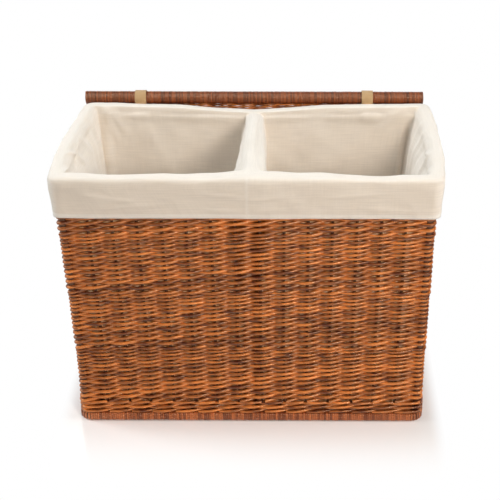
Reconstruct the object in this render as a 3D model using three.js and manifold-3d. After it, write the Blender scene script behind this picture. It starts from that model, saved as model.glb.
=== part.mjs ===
// A laundry hamper of woven willow with two lined bins, its lid hanging open behind it.
//
// The basket is built as a willow worker builds it. A rail frame lies on the floor. Four corner
// posts and a row of stakes on each side stand on it, woven walls hold them, and a stout rim rail
// crowns them. A middle rail and a woven panel part the two bins. One cotton liner drops into both
// bins and folds over the rim. The lid turns on its back rail, which runs through two webbing
// straps looped round the rim.
//
// Millimetres, +Z up, the front faces -Y. The origin lies on the floor under the middle of the
// whole hamper with its lid hanging.

import * as THREE from "three";
import { mergeVertices } from "three/addons/utils/BufferGeometryUtils.js";
import Module from "manifold-3d";

const wasm = await Module();
wasm.setup();

// Basket, outside the rails, and how far its rim stands out beyond its base on each side
const bodyHeight = 451;
const rimWidth = 606;
const rimDepth = 336;
const sideFlare = 7;
const frontFlare = 6;
const clearance = 0.3;

// Rails of the basket
const rimRailRadius = 10;
const cornerRadius = 12;
const rimBow = 8;
const baseRailWidth = 18;
const baseRailHeight = 16;
const baseRailChamfer = 4;

// Uprights and weave
const stakeRadius = 4;
const weaverDiameter = 3.3;
const postRadius = 7;
const longWallSpaceCount = 15;
const shortWallSpaceCount = 7;
const wallCourseCount = 14;
const cutOverrun = 2;

// Panels in the basket
const basePanelThickness = 8;
const basePanelLift = 4;
const dividerPanelThickness = 10;

// Liner
const linerThickness = 2;
const linerSlack = 2.8;
const linerBandDrop = 65;
const linerHemGap = 0.5;
const linerFootGap = 0.6;
const linerFootCornerRadius = 14;
const linerBandCornerRadius = 11;

// Lid
const lidHingeRailRadius = 11.5;
const lidFrameRadius = 8;
const lidCornerRadius = 22;
const lidPanelThickness = 9;
const lidCourseCount = 12;
const lidOverhang = 5;
const lidRestGap = 0.6;

// Hinge straps
const strapWidth = 20;
const strapThickness = 1.5;
const strapEndInset = 100;
const strapSlotGap = 0.7;

// Softly rounded ends of the lid's hinge rail and of the divider rail
const railEndRounding = 3;

// How finely round shapes are cut, as counts
const railSides = 12;
const stakeSides = 8;
const postSides = 12;
const strapSides = 24;
const cornerSteps = 4;
const bowSteps = 4;

// The liner rolls over a rail up to this angle and is flat on top between the two sides
const rollAngles = [0, 30, 60, 80].map((degrees) => THREE.MathUtils.degToRad(degrees));

// How far out a face of a weave stands, as shares: of its swell where the weavers cross between two
// stakes, of a flat panel's swell where they pass behind a stake, and of a weaver over a wall's stake
const crossingShare = 0.5;
const panelBehindShare = 0.2;
const wallSkinShare = 0.4;

// Folds of the bags on their back and outer sides: a tight pleat by the corner, and soft folds.
// The shares run along a side from its back corner, at the rim and at the floor, over the room that
// the fold has there. The height shares say where up a bag a fold is formed.
const pleatWidth = 24;
const pleatDepth = 8;
const softFoldWidth = 42;
const softFoldDepth = 6;
const linerFolds = {
  back: [
    { rimShare: 0.01, footShare: 0.08, width: pleatWidth, depth: pleatDepth },
    { rimShare: 0.98, footShare: 0.87, width: softFoldWidth, depth: softFoldDepth },
  ],
  outer: [
    { rimShare: 0.06, footShare: 0.26, width: softFoldWidth, depth: softFoldDepth },
    { rimShare: 0.95, footShare: 0.74, width: softFoldWidth, depth: softFoldDepth },
  ],
};
const foldHeightShares = [0, 0.35, 0.7];
const foldEndShare = 0.2;

// Worked out from the sizes above. The lid is as wide as the rim.
const lidWidth = rimWidth;
const rimZ = bodyHeight - rimRailRadius;
const rimHalf = { x: rimWidth / 2 - rimRailRadius, y: rimDepth / 2 - rimRailRadius };
const baseHalf = { x: rimHalf.x - sideFlare, y: rimHalf.y - frontFlare };
const wallBottomZ = baseRailHeight + clearance;
const postTopZ = rimZ - rimRailRadius - clearance;
const wallTopZ = postTopZ - strapThickness - clearance;
const wallHalf = stakeRadius + weaverDiameter;
const postInset = cornerRadius * (1 - Math.SQRT1_2);
const wrapRadius = postRadius + weaverDiameter;
const basePanelTopZ = basePanelLift + basePanelThickness;
const linerFloorZ = basePanelTopZ + clearance;
const linerInner = rimRailRadius + linerSlack;
const linerOuter = linerInner + linerThickness;
const linerTopZ = rimZ + linerOuter * Math.sin(rollAngles.at(-1));
const hemZ = bodyHeight - linerBandDrop;
const hingeRingRadius = lidHingeRailRadius + clearance + strapThickness;
const hingeY = rimHalf.y + linerOuter + lidRestGap + lidFrameRadius;
const hingeZ = linerTopZ + lidRestGap + lidFrameRadius;
const lidReach = hingeY + rimHalf.y + linerOuter + lidOverhang;
const strapX = lidWidth / 2 - strapEndInset;
const frontMostY = -(rimHalf.y + linerOuter);
const backMostY = hingeY + hingeRingRadius;

/** The half sizes of the walls' middle plane at a height. */
function wallPlane(z) {
  const share = z / rimZ;
  return {
    x: THREE.MathUtils.lerp(baseHalf.x, rimHalf.x, share),
    y: THREE.MathUtils.lerp(baseHalf.y, rimHalf.y, share),
  };
}

/** A point of an arc about a centre, as a Vector2. */
function polar(centreX, centreY, radius, angle) {
  return new THREE.Vector2(centreX + radius * Math.cos(angle), centreY + radius * Math.sin(angle));
}

/** A full circle as a list of points. */
function circle(centreX, centreY, radius, sides) {
  return Array.from({ length: sides }, (_, i) =>
    polar(centreX, centreY, radius, (2 * Math.PI * (i + 1 / 2)) / sides),
  );
}

/** How far a short side of the basket bows out, by the share of its half run and of the height. */
function bowAt(runShare, z) {
  return rimBow * (z / rimZ) * (1 - runShare * runShare);
}

/**
 * A rounded rectangle with points of its own on each side. A side is a function from its start
 * and end to the points between, in the order right, back, left, front.
 */
function roundedOutline({ left, right, front, back, radius }, sidePoints) {
  const corners = [
    [right - radius, front + radius, -Math.PI / 2],
    [right - radius, back - radius, 0],
    [left + radius, back - radius, Math.PI / 2],
    [left + radius, front + radius, Math.PI],
  ].map(([x, y, start]) =>
    Array.from({ length: cornerSteps + 1 }, (_, i) =>
      polar(x, y, radius, start + (i * Math.PI) / 2 / cornerSteps),
    ),
  );
  return corners.flatMap((corner, i) => {
    const next = corners[(i + 1) % corners.length];
    return [...corner, ...(sidePoints[i]?.(corner.at(-1), next[0]) ?? [])];
  });
}

/** A rounded rectangle about the middle, by its half sizes. */
function roundedRectangle(halfX, halfY, radius) {
  const box = { left: -halfX, right: halfX, front: -halfY, back: halfY, radius };
  return roundedOutline(box, []);
}

/** A rounded rectangle about the middle whose short sides bow out as the basket does. */
function bowedRectangle(halfX, halfY, radius, z) {
  const bowed = (sign) => (from, to) =>
    Array.from({ length: bowSteps - 1 }, (_, i) => {
      const point = from.clone().lerp(to, (i + 1) / bowSteps);
      point.x += sign * bowAt(point.y / halfY, z);
      return point;
    });
  const box = { left: -halfX, right: halfX, front: -halfY, back: halfY, radius };
  return roundedOutline(box, [bowed(1), undefined, bowed(-1), undefined]);
}

/** Turns a loop so that its area has the sign asked for. */
function wound(points, counterClockwise) {
  return THREE.ShapeUtils.area(points) > 0 === counterClockwise ? points : [...points].reverse();
}

/** A mesh geometry from points and triangles. */
function geometryOf(points, triangles) {
  const geometry = new THREE.BufferGeometry().setFromPoints(points);
  geometry.setIndex(triangles);
  return geometry;
}

/** Adds the triangles of a strip between two loops of equal count, facing right of their run. */
function addStrip(triangles, lower, upper, count) {
  for (let i = 0; i < count; i += 1) {
    const next = (i + 1) % count;
    triangles.push(lower + i, lower + next, upper + next, lower + i, upper + next, upper + i);
  }
}

/**
 * A solid through a stack of levels. Each level is { z, outline, holes }, with the same number of
 * points at each level, and its holes run through the whole stack.
 */
function loft(levels) {
  const points = [];
  const triangles = [];
  const stacked = levels.map(({ z, outline, holes = [] }) => {
    const loops = [wound(outline, true), ...holes.map((hole) => wound(hole, false))];
    const start = points.length;
    loops.flat().forEach((p) => points.push(new THREE.Vector3(p.x, p.y, z)));
    return { start, loops };
  });
  for (let k = 0; k + 1 < stacked.length; k += 1) {
    let offset = 0;
    for (const loop of stacked[k].loops) {
      addStrip(triangles, stacked[k].start + offset, stacked[k + 1].start + offset, loop.length);
      offset += loop.length;
    }
  }
  for (const [level, up] of [[stacked[0], false], [stacked.at(-1), true]]) {
    const flat = level.loops.flat();
    for (const face of THREE.ShapeUtils.triangulateShape(level.loops[0], level.loops.slice(1))) {
      const corners = face.map((i) => flat[i]);
      const facesUp = THREE.ShapeUtils.area(corners) > 0;
      const order = facesUp === up ? face : [...face].reverse();
      triangles.push(...order.map((i) => level.start + i));
    }
  }
  return geometryOf(points, triangles);
}

/** A straight post between two heights, leaning from one plan point to another. */
function leaningPost(radius, sides, low, high) {
  return loft([
    { z: low.z, outline: circle(low.x, low.y, radius, sides) },
    { z: high.z, outline: circle(high.x, high.y, radius, sides) },
  ]);
}

/** A round bar along X with softly rounded ends. */
function roundBar(length, radius, sides) {
  const shape = [
    [-length / 2, radius - railEndRounding],
    [-length / 2 + railEndRounding, radius],
    [length / 2 - railEndRounding, radius],
    [length / 2, radius - railEndRounding],
  ];
  const geometry = loft(shape.map(([z, r]) => ({ z, outline: circle(0, 0, r, sides) })));
  return geometry.rotateY(Math.PI / 2);
}

/** A closed loop's section, [outwards, up] pairs, carried round an outline grown by its way out. */
function ringSweep(outlineAt, section) {
  const rings = section.map(([out, up]) =>
    outlineAt(out).map((p) => new THREE.Vector3(p.x, p.y, up)),
  );
  const count = rings[0].length;
  const triangles = [];
  rings.forEach((_, k) => {
    addStrip(triangles, k * count, ((k + 1) % rings.length) * count, count);
  });
  return geometryOf(rings.flat(), triangles);
}

/** A solid for cutting and joining. */
function solid(geometry) {
  const bare = geometry.clone();
  bare.deleteAttribute("normal");
  bare.deleteAttribute("uv");
  const merged = mergeVertices(bare);
  return new wasm.Manifold(
    new wasm.Mesh({
      numProp: 3,
      vertProperties: merged.attributes.position.array,
      triVerts: new Uint32Array(merged.index.array),
    }),
  );
}

/** The mesh geometry of a cut or joined solid. */
function geometryFrom(manifold) {
  const { vertProperties, triVerts, numProp } = manifold.getMesh();
  const count = vertProperties.length / numProp;
  const points = Array.from(
    { length: count },
    (_, i) => new THREE.Vector3(...vertProperties.subarray(i * numProp, i * numProp + 3)),
  );
  return geometryOf(points, [...triVerts]);
}

/** A block between two corners. */
function block(low, high) {
  const size = high.clone().sub(low);
  const middle = low.clone().add(high).multiplyScalar(1 / 2);
  return solid(new THREE.BoxGeometry(size.x, size.y, size.z).translate(...middle));
}

/** A round bar along X through a point, for cutting and joining. */
function barAlongX(x, y, z, radius, length, sides) {
  const bar = new THREE.CylinderGeometry(radius, radius, length, sides);
  return solid(bar.rotateZ(Math.PI / 2).translate(x, y, z));
}

/** How far out the side walls' middle line stands at a place along it. */
function bowedX(s, plane, z) {
  return plane.x + bowAt(Math.min(Math.abs(s) / (plane.y - postInset), 1), z);
}

// Where a point of a side lies in plan, by its place along the side and how far out it is.
const sides = {
  front: (s, n, plane) => new THREE.Vector2(s, -(plane.y + n)),
  back: (s, n, plane) => new THREE.Vector2(-s, plane.y + n),
  left: (s, n, plane, z) => new THREE.Vector2(-(bowedX(s, plane, z) + n), -s),
  right: (s, n, plane, z) => new THREE.Vector2(bowedX(s, plane, z) + n, s),
};

/** How far a side's corner posts stand from its middle. */
function halfRun(side, plane) {
  return (side === "front" || side === "back" ? plane.x : plane.y) - postInset;
}

/** Where the stakes stand along a side, between its corner posts. */
function stakePlaces(side, plane) {
  const spaces = side === "front" || side === "back" ? longWallSpaceCount : shortWallSpaceCount;
  const half = halfRun(side, plane);
  return Array.from({ length: spaces - 1 }, (_, i) => -half + ((i + 1) * 2 * half) / spaces);
}

/**
 * One face of a weave as [along, out] pairs between two ends, at a course. The weavers of a course
 * pass in front of every other stake and behind the next, and those of the next course change over.
 */
function wovenFace(half, spaces, swell, behind, course) {
  return Array.from({ length: 2 * spaces - 1 }, (_, i) => {
    const place = -half + ((i + 1) * half) / spaces;
    if (i % 2 === 0) return [place, swell * crossingShare];
    return [place, ((i + 1) / 2 + course) % 2 === 0 ? swell : behind];
  });
}

/** Both faces of a weave at a course, the second one run backwards, with ends between them. */
function wovenOutline(half, spaces, swell, behind, course, end) {
  const face = wovenFace(half, spaces, swell, behind, course);
  const back = wovenFace(half, spaces, swell, behind, course + 1);
  return [
    ...face,
    ...end,
    ...back.map(([s, n]) => [s, -n]).reverse(),
    ...end.map(([s, n]) => [-s, n]).reverse(),
  ];
}

/** The outline of a flat woven panel as [along, out] pairs, about its middle, at a course. */
function panelOutline(half, spaces, thickness, course) {
  const swell = thickness / 2;
  const end = [swell * crossingShare, -swell * crossingShare].map((n) => [half, n]);
  return wovenOutline(half, spaces, swell, swell * panelBehindShare, course, end);
}

/** A woven solid between two heights: a level at its foot, at each course's middle and at its top. */
function wovenLoft(low, high, courseCount, levelAt) {
  const courses = Array.from({ length: courseCount }, (_, course) => {
    const z = THREE.MathUtils.lerp(low, high, (course + 1 / 2) / courseCount);
    return levelAt(z, course);
  });
  return loft([levelAt(low, 0), ...courses, levelAt(high, courseCount - 1)]);
}

/** The end of a wall where its weavers turn round a corner post, up to the mitre. */
function wallEnd(half) {
  const mitre = Math.PI / 4;
  const gap = new THREE.Vector2(-clearance * Math.SQRT1_2, 0);
  const at = (radius, angle) => polar(half, -postInset, radius, angle);
  const hole = Array.from({ length: postSides / 2 + 1 }, (_, i) =>
    at(postRadius + clearance, mitre + (2 * Math.PI * i) / postSides),
  );
  return [
    at(wrapRadius, Math.PI / 2),
    at(wrapRadius, (Math.PI / 2 + mitre) / 2),
    at(wrapRadius, mitre).add(gap),
    hole[0].clone().add(gap),
    ...hole.slice(1, -1),
    hole.at(-1).clone().add(gap),
    at(wrapRadius, mitre + Math.PI).add(gap),
  ].map((p) => [p.x, p.y]);
}

/** A post that stands where a stake of a side does, between two heights. */
function stakeAt(side, index, radius, low, high) {
  const end = (z) => {
    const plane = wallPlane(z);
    const { x, y } = sides[side](stakePlaces(side, plane)[index], 0, plane, z);
    return { x, y, z };
  };
  return leaningPost(radius, stakeSides, end(low), end(high));
}

/** A woven wall of a side, with a hole for each of its stakes. */
function wovenWall(side) {
  const count = stakePlaces(side, rimHalf).length;
  const behind = stakeRadius + weaverDiameter * wallSkinShare;
  const level = (z, course) => {
    const plane = wallPlane(z);
    const half = halfRun(side, plane);
    const outline = wovenOutline(half, count + 1, wallHalf, behind, course, wallEnd(half));
    return { z, outline: outline.map(([s, n]) => sides[side](s, n, plane, z)) };
  };
  let wall = solid(wovenLoft(wallBottomZ, wallTopZ, wallCourseCount, level));
  for (let i = 0; i < count; i += 1) {
    const [low, high] = [wallBottomZ - cutOverrun, wallTopZ + cutOverrun];
    wall = wall.subtract(solid(stakeAt(side, i, stakeRadius + clearance, low, high)));
  }
  return geometryFrom(wall);
}

/** A stake of a side, counted from its first corner post. */
function stake(side, index) {
  return stakeAt(side, index, stakeRadius, wallBottomZ, wallTopZ);
}

/** A corner post, by the signs of its place in X and Y. */
function cornerPost(signX, signY) {
  const end = (z) => {
    const plane = wallPlane(z);
    return { x: signX * (plane.x - postInset), y: signY * (plane.y - postInset), z };
  };
  return leaningPost(postRadius, postSides, end(wallBottomZ), end(postTopZ));
}

/** The frame that the basket stands on, flat below and chamfered above. */
function baseFrame() {
  const half = baseRailWidth / 2;
  const section = [
    [half - baseRailChamfer, 0],
    [half, baseRailChamfer],
    [half, baseRailHeight - baseRailChamfer],
    [half - baseRailChamfer, baseRailHeight],
    [-half + baseRailChamfer, baseRailHeight],
    [-half, baseRailHeight - baseRailChamfer],
    [-half, baseRailChamfer],
    [-half + baseRailChamfer, 0],
  ];
  return ringSweep(
    (out) => roundedRectangle(baseHalf.x + out, baseHalf.y + out, cornerRadius + out),
    section,
  );
}

/** The round rail along the top of the walls. */
function rimFrame() {
  const section = circle(0, rimZ, rimRailRadius, railSides).map((p) => [p.x, p.y]);
  return ringSweep(
    (out) => bowedRectangle(rimHalf.x + out, rimHalf.y + out, cornerRadius + out, rimZ),
    section,
  );
}

/** The woven floor of the basket, let into the base frame. */
function basePanel() {
  const inset = baseRailWidth / 2 + clearance;
  const outline = roundedRectangle(
    baseHalf.x - inset,
    baseHalf.y - inset,
    Math.max(cornerRadius - inset, clearance),
  );
  return loft([
    { z: basePanelLift, outline },
    { z: basePanelTopZ, outline },
  ]);
}

/** The bar from front to back over the divider. */
function dividerRail() {
  const length = 2 * (rimHalf.y - rimRailRadius - clearance);
  return roundBar(length, rimRailRadius, railSides).rotateZ(Math.PI / 2);
}

/** The woven panel between the two bins. */
function dividerPanel() {
  const level = (z) => {
    const half = wallPlane(z).y - Math.max(wallHalf, baseRailWidth / 2) - clearance;
    const outline = panelOutline(half, shortWallSpaceCount, dividerPanelThickness, 0);
    return { z, outline: outline.map(([s, n]) => new THREE.Vector2(n, s)) };
  };
  return loft([level(basePanelTopZ + clearance), level(postTopZ)]);
}

/** Points of the folds along one side of a bag, from its start to its end, at a height share. */
function foldPoints(folds, heightShare, inward, bow, backAtStart) {
  return (from, to) => {
    const run = from.distanceTo(to);
    const formed = THREE.MathUtils.lerp(foldEndShare, 1, Math.sin(Math.PI * heightShare));
    const points = folds.flatMap(({ rimShare, footShare, width, depth }) => {
      const reach = width / 2 / run;
      const share = THREE.MathUtils.lerp(footShare, rimShare, heightShare);
      const middle = THREE.MathUtils.lerp(reach, 1 - reach, share);
      return [
        [middle - reach, 0],
        [middle, depth * formed],
        [middle + reach, 0],
      ];
    });
    const ordered = backAtStart ? points : points.map(([t, d]) => [1 - t, d]).reverse();
    return ordered.map(([t, d]) =>
      from.clone().lerp(to, t).addScaledVector(inward, d - bow(2 * t - 1)),
    );
  };
}

/** The hollow of one bin inside a skin of cloth, by its side and how far the skin lies out. */
function binHollow(sign, skin) {
  const roll = linerInner + skin;
  const wallFoot = baseRailWidth / 2 + linerFootGap + skin;
  const dividerFoot = dividerPanelThickness / 2 + linerFootGap + skin;
  const floorZ = linerFloorZ + skin;
  const levels = [
    ...foldHeightShares.map((share) => ({
      z: THREE.MathUtils.lerp(floorZ, rimZ, share),
      share,
      wall: THREE.MathUtils.lerp(wallFoot, roll, share),
      divider: THREE.MathUtils.lerp(dividerFoot, roll, share),
    })),
    ...rollAngles.map((angle) => ({
      z: rimZ + roll * Math.sin(angle),
      share: 1,
      wall: roll * Math.cos(angle),
      divider: roll * Math.cos(angle),
    })),
  ].map(({ z, share, wall, divider }) => {
    const plane = wallPlane(Math.min(z, rimZ));
    const outer = plane.x - wall;
    const halfY = plane.y - wall;
    const [left, right] = sign > 0 ? [divider, outer] : [-outer, -divider];
    const box = { left, right, front: -halfY, back: halfY, radius: linerFootCornerRadius };
    const bow = (t) => bowAt(t, Math.min(z, rimZ));
    const straight = () => 0;
    const outerSide = foldPoints(
      linerFolds.outer, share, new THREE.Vector2(-sign, 0), bow, sign < 0,
    );
    const backSide = foldPoints(
      linerFolds.back, share, new THREE.Vector2(0, -1), straight, sign > 0,
    );
    const sidePoints = sign > 0 ? [outerSide, backSide] : [undefined, backSide, outerSide];
    return { z, outline: roundedOutline(box, sidePoints) };
  });
  const mouth = levels.at(-1);
  const open = { ...mouth, z: mouth.z + linerOuter };
  return solid(loft([...levels, open]));
}

/** The outside of the cloth where it hangs over the rim, filled down to the bins' floor. */
function bandBlock(skin) {
  const roll = linerInner + skin;
  const hemOut = wallHalf + linerHemGap + skin;
  const hemPlane = wallPlane(hemZ);
  const hem = { plane: hemPlane, out: hemOut, bowZ: hemZ };
  const levels = [
    { ...hem, z: linerFloorZ },
    { ...hem, z: hemZ },
    ...rollAngles.map((angle) => ({
      z: rimZ + roll * Math.sin(angle),
      plane: rimHalf,
      out: roll * Math.cos(angle),
      bowZ: rimZ,
    })),
  ];
  return solid(
    loft(
      levels.map(({ z, plane, out, bowZ }) => ({
        z,
        outline: bowedRectangle(plane.x + out, plane.y + out, linerBandCornerRadius, bowZ),
      })),
    ),
  );
}

/** What the cloth lies on, grown by the slack and by a skin. */
function clothCore(skin) {
  return bandBlock(skin).subtract(binHollow(-1, skin)).subtract(binHollow(1, skin));
}

/** The cotton liner: two bags in one, with a band turned over the rim and slits for the straps. */
function liner() {
  const far = lidWidth;
  const below = block(
    new THREE.Vector3(-far, -far, -far),
    new THREE.Vector3(far, far, hemZ),
  );
  const middle = wallPlane(hemZ);
  const inside = block(
    new THREE.Vector3(-middle.x, -middle.y, -far),
    new THREE.Vector3(middle.x, middle.y, hemZ),
  );
  let cloth = clothCore(linerThickness).subtract(clothCore(0)).subtract(below.subtract(inside));
  for (const sign of [-1, 1]) {
    cloth = cloth.subtract(strapWeb(sign, clearance));
  }
  return geometryFrom(cloth);
}

/** The doubled webbing between the two loops of a strap, grown on all sides by a gap. */
function strapWeb(sign, gap) {
  const rise = hingeZ - rimZ;
  const run = hingeY - rimHalf.y;
  const web = new THREE.BoxGeometry(
    strapWidth + 2 * gap,
    Math.hypot(rise, run),
    2 * (strapThickness + gap),
  );
  web.rotateX(Math.atan2(rise, run));
  web.translate(sign * strapX, rimHalf.y + run / 2, rimZ + rise / 2);
  return solid(web);
}

/** A webbing strap: one loop round the rim rail, one round the lid's hinge rail, joined. */
function hingeStrap(sign) {
  const x = sign * strapX;
  const rimLoop = rimRailRadius + clearance;
  const lidLoop = lidHingeRailRadius + clearance;
  const bar = (y, z, radius, length) => barAlongX(x, y, z, radius, length, strapSides);
  const rimAxis = [rimHalf.y, rimZ];
  const lidAxis = [hingeY, hingeZ];
  return geometryFrom(
    bar(...rimAxis, rimLoop + strapThickness, strapWidth)
      .add(bar(...lidAxis, lidLoop + strapThickness, strapWidth))
      .add(strapWeb(sign, 0))
      .subtract(bar(...rimAxis, rimLoop, 2 * strapWidth))
      .subtract(bar(...lidAxis, lidLoop, 2 * strapWidth)),
  );
}

/** The lid's rail round three sides, hanging from the hinge rail. */
function lidFrame() {
  const halfX = lidWidth / 2 - lidFrameRadius;
  const foot = -(lidReach - lidFrameRadius);
  const top = -(lidHingeRailRadius + clearance);
  const corner = (x, startAngle) =>
    Array.from({ length: cornerSteps + 1 }, (_, i) => {
      const angle = startAngle + (i * Math.PI) / 2 / cornerSteps;
      return {
        at: polar(x, foot + lidCornerRadius, lidCornerRadius, angle),
        out: polar(0, 0, 1, angle),
      };
    });
  const path = [
    { at: new THREE.Vector2(-halfX, top), out: new THREE.Vector2(-1, 0) },
    ...corner(-halfX + lidCornerRadius, Math.PI),
    ...corner(halfX - lidCornerRadius, -Math.PI / 2),
    { at: new THREE.Vector2(halfX, top), out: new THREE.Vector2(1, 0) },
  ];
  const section = circle(0, 0, lidFrameRadius, railSides);
  const points = path.flatMap(({ at, out }) =>
    section.map((p) => new THREE.Vector3(at.x + out.x * p.x, p.y, at.y + out.y * p.x)),
  );
  const triangles = [];
  for (let k = 0; k + 1 < path.length; k += 1) {
    addStrip(triangles, k * railSides, (k + 1) * railSides, railSides);
  }
  const last = (path.length - 1) * railSides;
  for (let i = 1; i + 1 < railSides; i += 1) {
    triangles.push(0, i + 1, i, last, last + i, last + i + 1);
  }
  return geometryOf(points, triangles);
}

/** The lid's woven panel, with a slot beside the hinge rail for each strap. */
function lidPanel() {
  const halfX = lidWidth / 2 - 2 * lidFrameRadius - clearance;
  const top = -(lidHingeRailRadius + clearance);
  const foot = -(lidReach - 2 * lidFrameRadius - clearance);
  const level = (z, course) => {
    const outline = panelOutline(halfX, longWallSpaceCount, lidPanelThickness, course);
    return { z, outline: outline.map(([x, y]) => new THREE.Vector2(x, y)) };
  };
  const slab = solid(wovenLoft(foot, top, lidCourseCount, level));
  const radius = lidCornerRadius - lidFrameRadius - clearance;
  const plan = roundedOutline({ left: -halfX, right: halfX, front: foot, back: -foot, radius }, []);
  const rounded = loft([
    { z: -lidPanelThickness, outline: plan },
    { z: lidPanelThickness, outline: plan },
  ]).rotateX(Math.PI / 2);
  let panel = slab.intersect(solid(rounded));
  const slotHalf = strapWidth / 2 + strapSlotGap;
  const slotFoot = top - strapThickness - strapSlotGap;
  for (const sign of [-1, 1]) {
    panel = panel.subtract(
      block(
        new THREE.Vector3(sign * strapX - slotHalf, -lidPanelThickness, slotFoot),
        new THREE.Vector3(sign * strapX + slotHalf, lidPanelThickness, 0),
      ),
    );
  }
  return geometryFrom(panel);
}

/** A material with the part's colour, roughness and metalness. */
function finish(color, roughness) {
  return new THREE.MeshStandardMaterial({ color, roughness, metalness: 0 });
}

const willow = finish("#95552f", 0.55);
const wrappedWillow = finish("#8a4628", 0.5);
const willowStick = finish("#7a4224", 0.6);
const cotton = finish("#e2d6c6", 0.9);
const webbing = finish("#cdb184", 0.7);

const hamper = new THREE.Group();
const lid = new THREE.Group();

/** Adds a named piece to a group. */
function add(group, name, geometry, material) {
  const mesh = new THREE.Mesh(geometry, material);
  mesh.name = name;
  group.add(mesh);
  return mesh;
}

add(hamper, "base_frame", baseFrame(), wrappedWillow);
add(hamper, "base_panel", basePanel(), willow);
for (const [depthName, signY] of [["front", -1], ["back", 1]]) {
  for (const [widthName, signX] of [["left", -1], ["right", 1]]) {
    add(hamper, `corner_post_${depthName}_${widthName}`, cornerPost(signX, signY), willowStick);
  }
}
for (const side of Object.keys(sides)) {
  add(hamper, `${side}_wall`, wovenWall(side), willow);
  stakePlaces(side, rimHalf).forEach((_, i) => {
    const number = String(i + 1).padStart(2, "0");
    add(hamper, `${side}_stake_${number}`, stake(side, i), willowStick);
  });
}
add(hamper, "rim_frame", rimFrame(), wrappedWillow);
add(hamper, "divider_rail", dividerRail(), wrappedWillow).position.z = rimZ;
add(hamper, "divider_panel", dividerPanel(), willow);
add(hamper, "liner", liner(), cotton);
add(hamper, "hinge_strap_left", hingeStrap(-1), webbing);
add(hamper, "hinge_strap_right", hingeStrap(1), webbing);

const hingeRail = roundBar(lidWidth, lidHingeRailRadius, strapSides);
add(lid, "lid_hinge_rail", hingeRail, wrappedWillow);
add(lid, "lid_frame", lidFrame(), wrappedWillow);
add(lid, "lid_panel", lidPanel(), willow);
lid.position.set(0, hingeY, hingeZ);
hamper.add(lid);

hamper.position.y = -(frontMostY + backMostY) / 2;

export default hamper;
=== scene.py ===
"""Looks of a willow laundry hamper with two cotton-lined bins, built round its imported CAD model.

Lengths are in metres. The hamper stands on z = 0 with its front towards -Y, and its lid hangs
open behind it. Rods, skeins and stitches are made by Geometry Nodes trees, the cotton liner and
the straps by mesh code.
"""

import logging
import math
from dataclasses import dataclass
from enum import Enum
from typing import Callable, Iterable, Sequence

import bmesh
import bpy
import numpy as np
from mathutils import Matrix, Vector


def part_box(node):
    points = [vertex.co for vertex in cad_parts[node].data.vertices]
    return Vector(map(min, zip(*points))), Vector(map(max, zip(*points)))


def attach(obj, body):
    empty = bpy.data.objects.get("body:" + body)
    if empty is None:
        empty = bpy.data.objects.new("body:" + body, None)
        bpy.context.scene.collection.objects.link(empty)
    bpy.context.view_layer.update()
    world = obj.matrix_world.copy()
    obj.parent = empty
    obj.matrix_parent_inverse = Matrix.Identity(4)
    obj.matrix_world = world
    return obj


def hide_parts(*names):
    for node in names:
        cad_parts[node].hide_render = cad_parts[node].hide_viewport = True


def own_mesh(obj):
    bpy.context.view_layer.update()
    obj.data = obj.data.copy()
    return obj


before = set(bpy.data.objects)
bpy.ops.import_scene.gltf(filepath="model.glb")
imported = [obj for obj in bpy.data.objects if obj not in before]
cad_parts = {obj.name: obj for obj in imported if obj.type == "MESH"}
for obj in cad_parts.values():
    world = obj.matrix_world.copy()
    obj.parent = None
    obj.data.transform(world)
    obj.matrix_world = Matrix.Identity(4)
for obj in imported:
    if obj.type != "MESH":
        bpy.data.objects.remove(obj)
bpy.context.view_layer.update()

log = logging.getLogger("hamper")

Value = float | int | bpy.types.Material

MM = 0.001


def smooth(low: float, high: float, value: np.ndarray) -> np.ndarray:
    """A soft step.

    Args:
        low: where the step starts.
        high: where the step ends.
        value: the values to place on the step.

    Returns:
        0 before low, 1 after high, and a smooth rise between them.
    """
    t = np.clip((np.asarray(value) - low) / (high - low), 0, 1)
    return t * t * (3 - 2 * t)


def put_in_scene(name: str, data: bpy.types.ID) -> bpy.types.Object:
    """A new object of the scene.

    Args:
        name: the object's name.
        data: its mesh, camera or lamp.

    Returns:
        The object.
    """
    made = bpy.data.objects.new(name, data)
    bpy.context.scene.collection.objects.link(made)
    return made


def mesh_of(name: str, points: Sequence, faces: Sequence = (), edges: Sequence = ()) -> bpy.types.Mesh:
    """A new mesh from points, faces and edges.

    Args:
        name: the mesh's name.
        points: its vertices.
        faces: vertex numbers of each face.
        edges: vertex numbers of each loose edge.

    Returns:
        The mesh.
    """
    mesh = bpy.data.meshes.new(name)
    mesh.from_pydata(points, edges, faces)
    return mesh


def run_along(line: np.ndarray) -> np.ndarray:
    """How far along a line each of its points is."""
    return np.concatenate([[0], np.cumsum(np.linalg.norm(np.diff(line, axis=0), axis=1))])


# Sizes of the hamper, as its CAD model has them


X, Y, Z = range(3)


def middle(node: str, axis: int) -> float:
    """The middle of a CAD node along an axis, to a thousandth of a millimetre."""
    low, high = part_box(node)
    return round((low[axis] + high[axis]) / 2, 6)


def extent(node: str, axis: int) -> float:
    """The size of a CAD node along an axis, to a thousandth of a millimetre."""
    low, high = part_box(node)
    return round(high[axis] - low[axis], 6)


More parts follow.
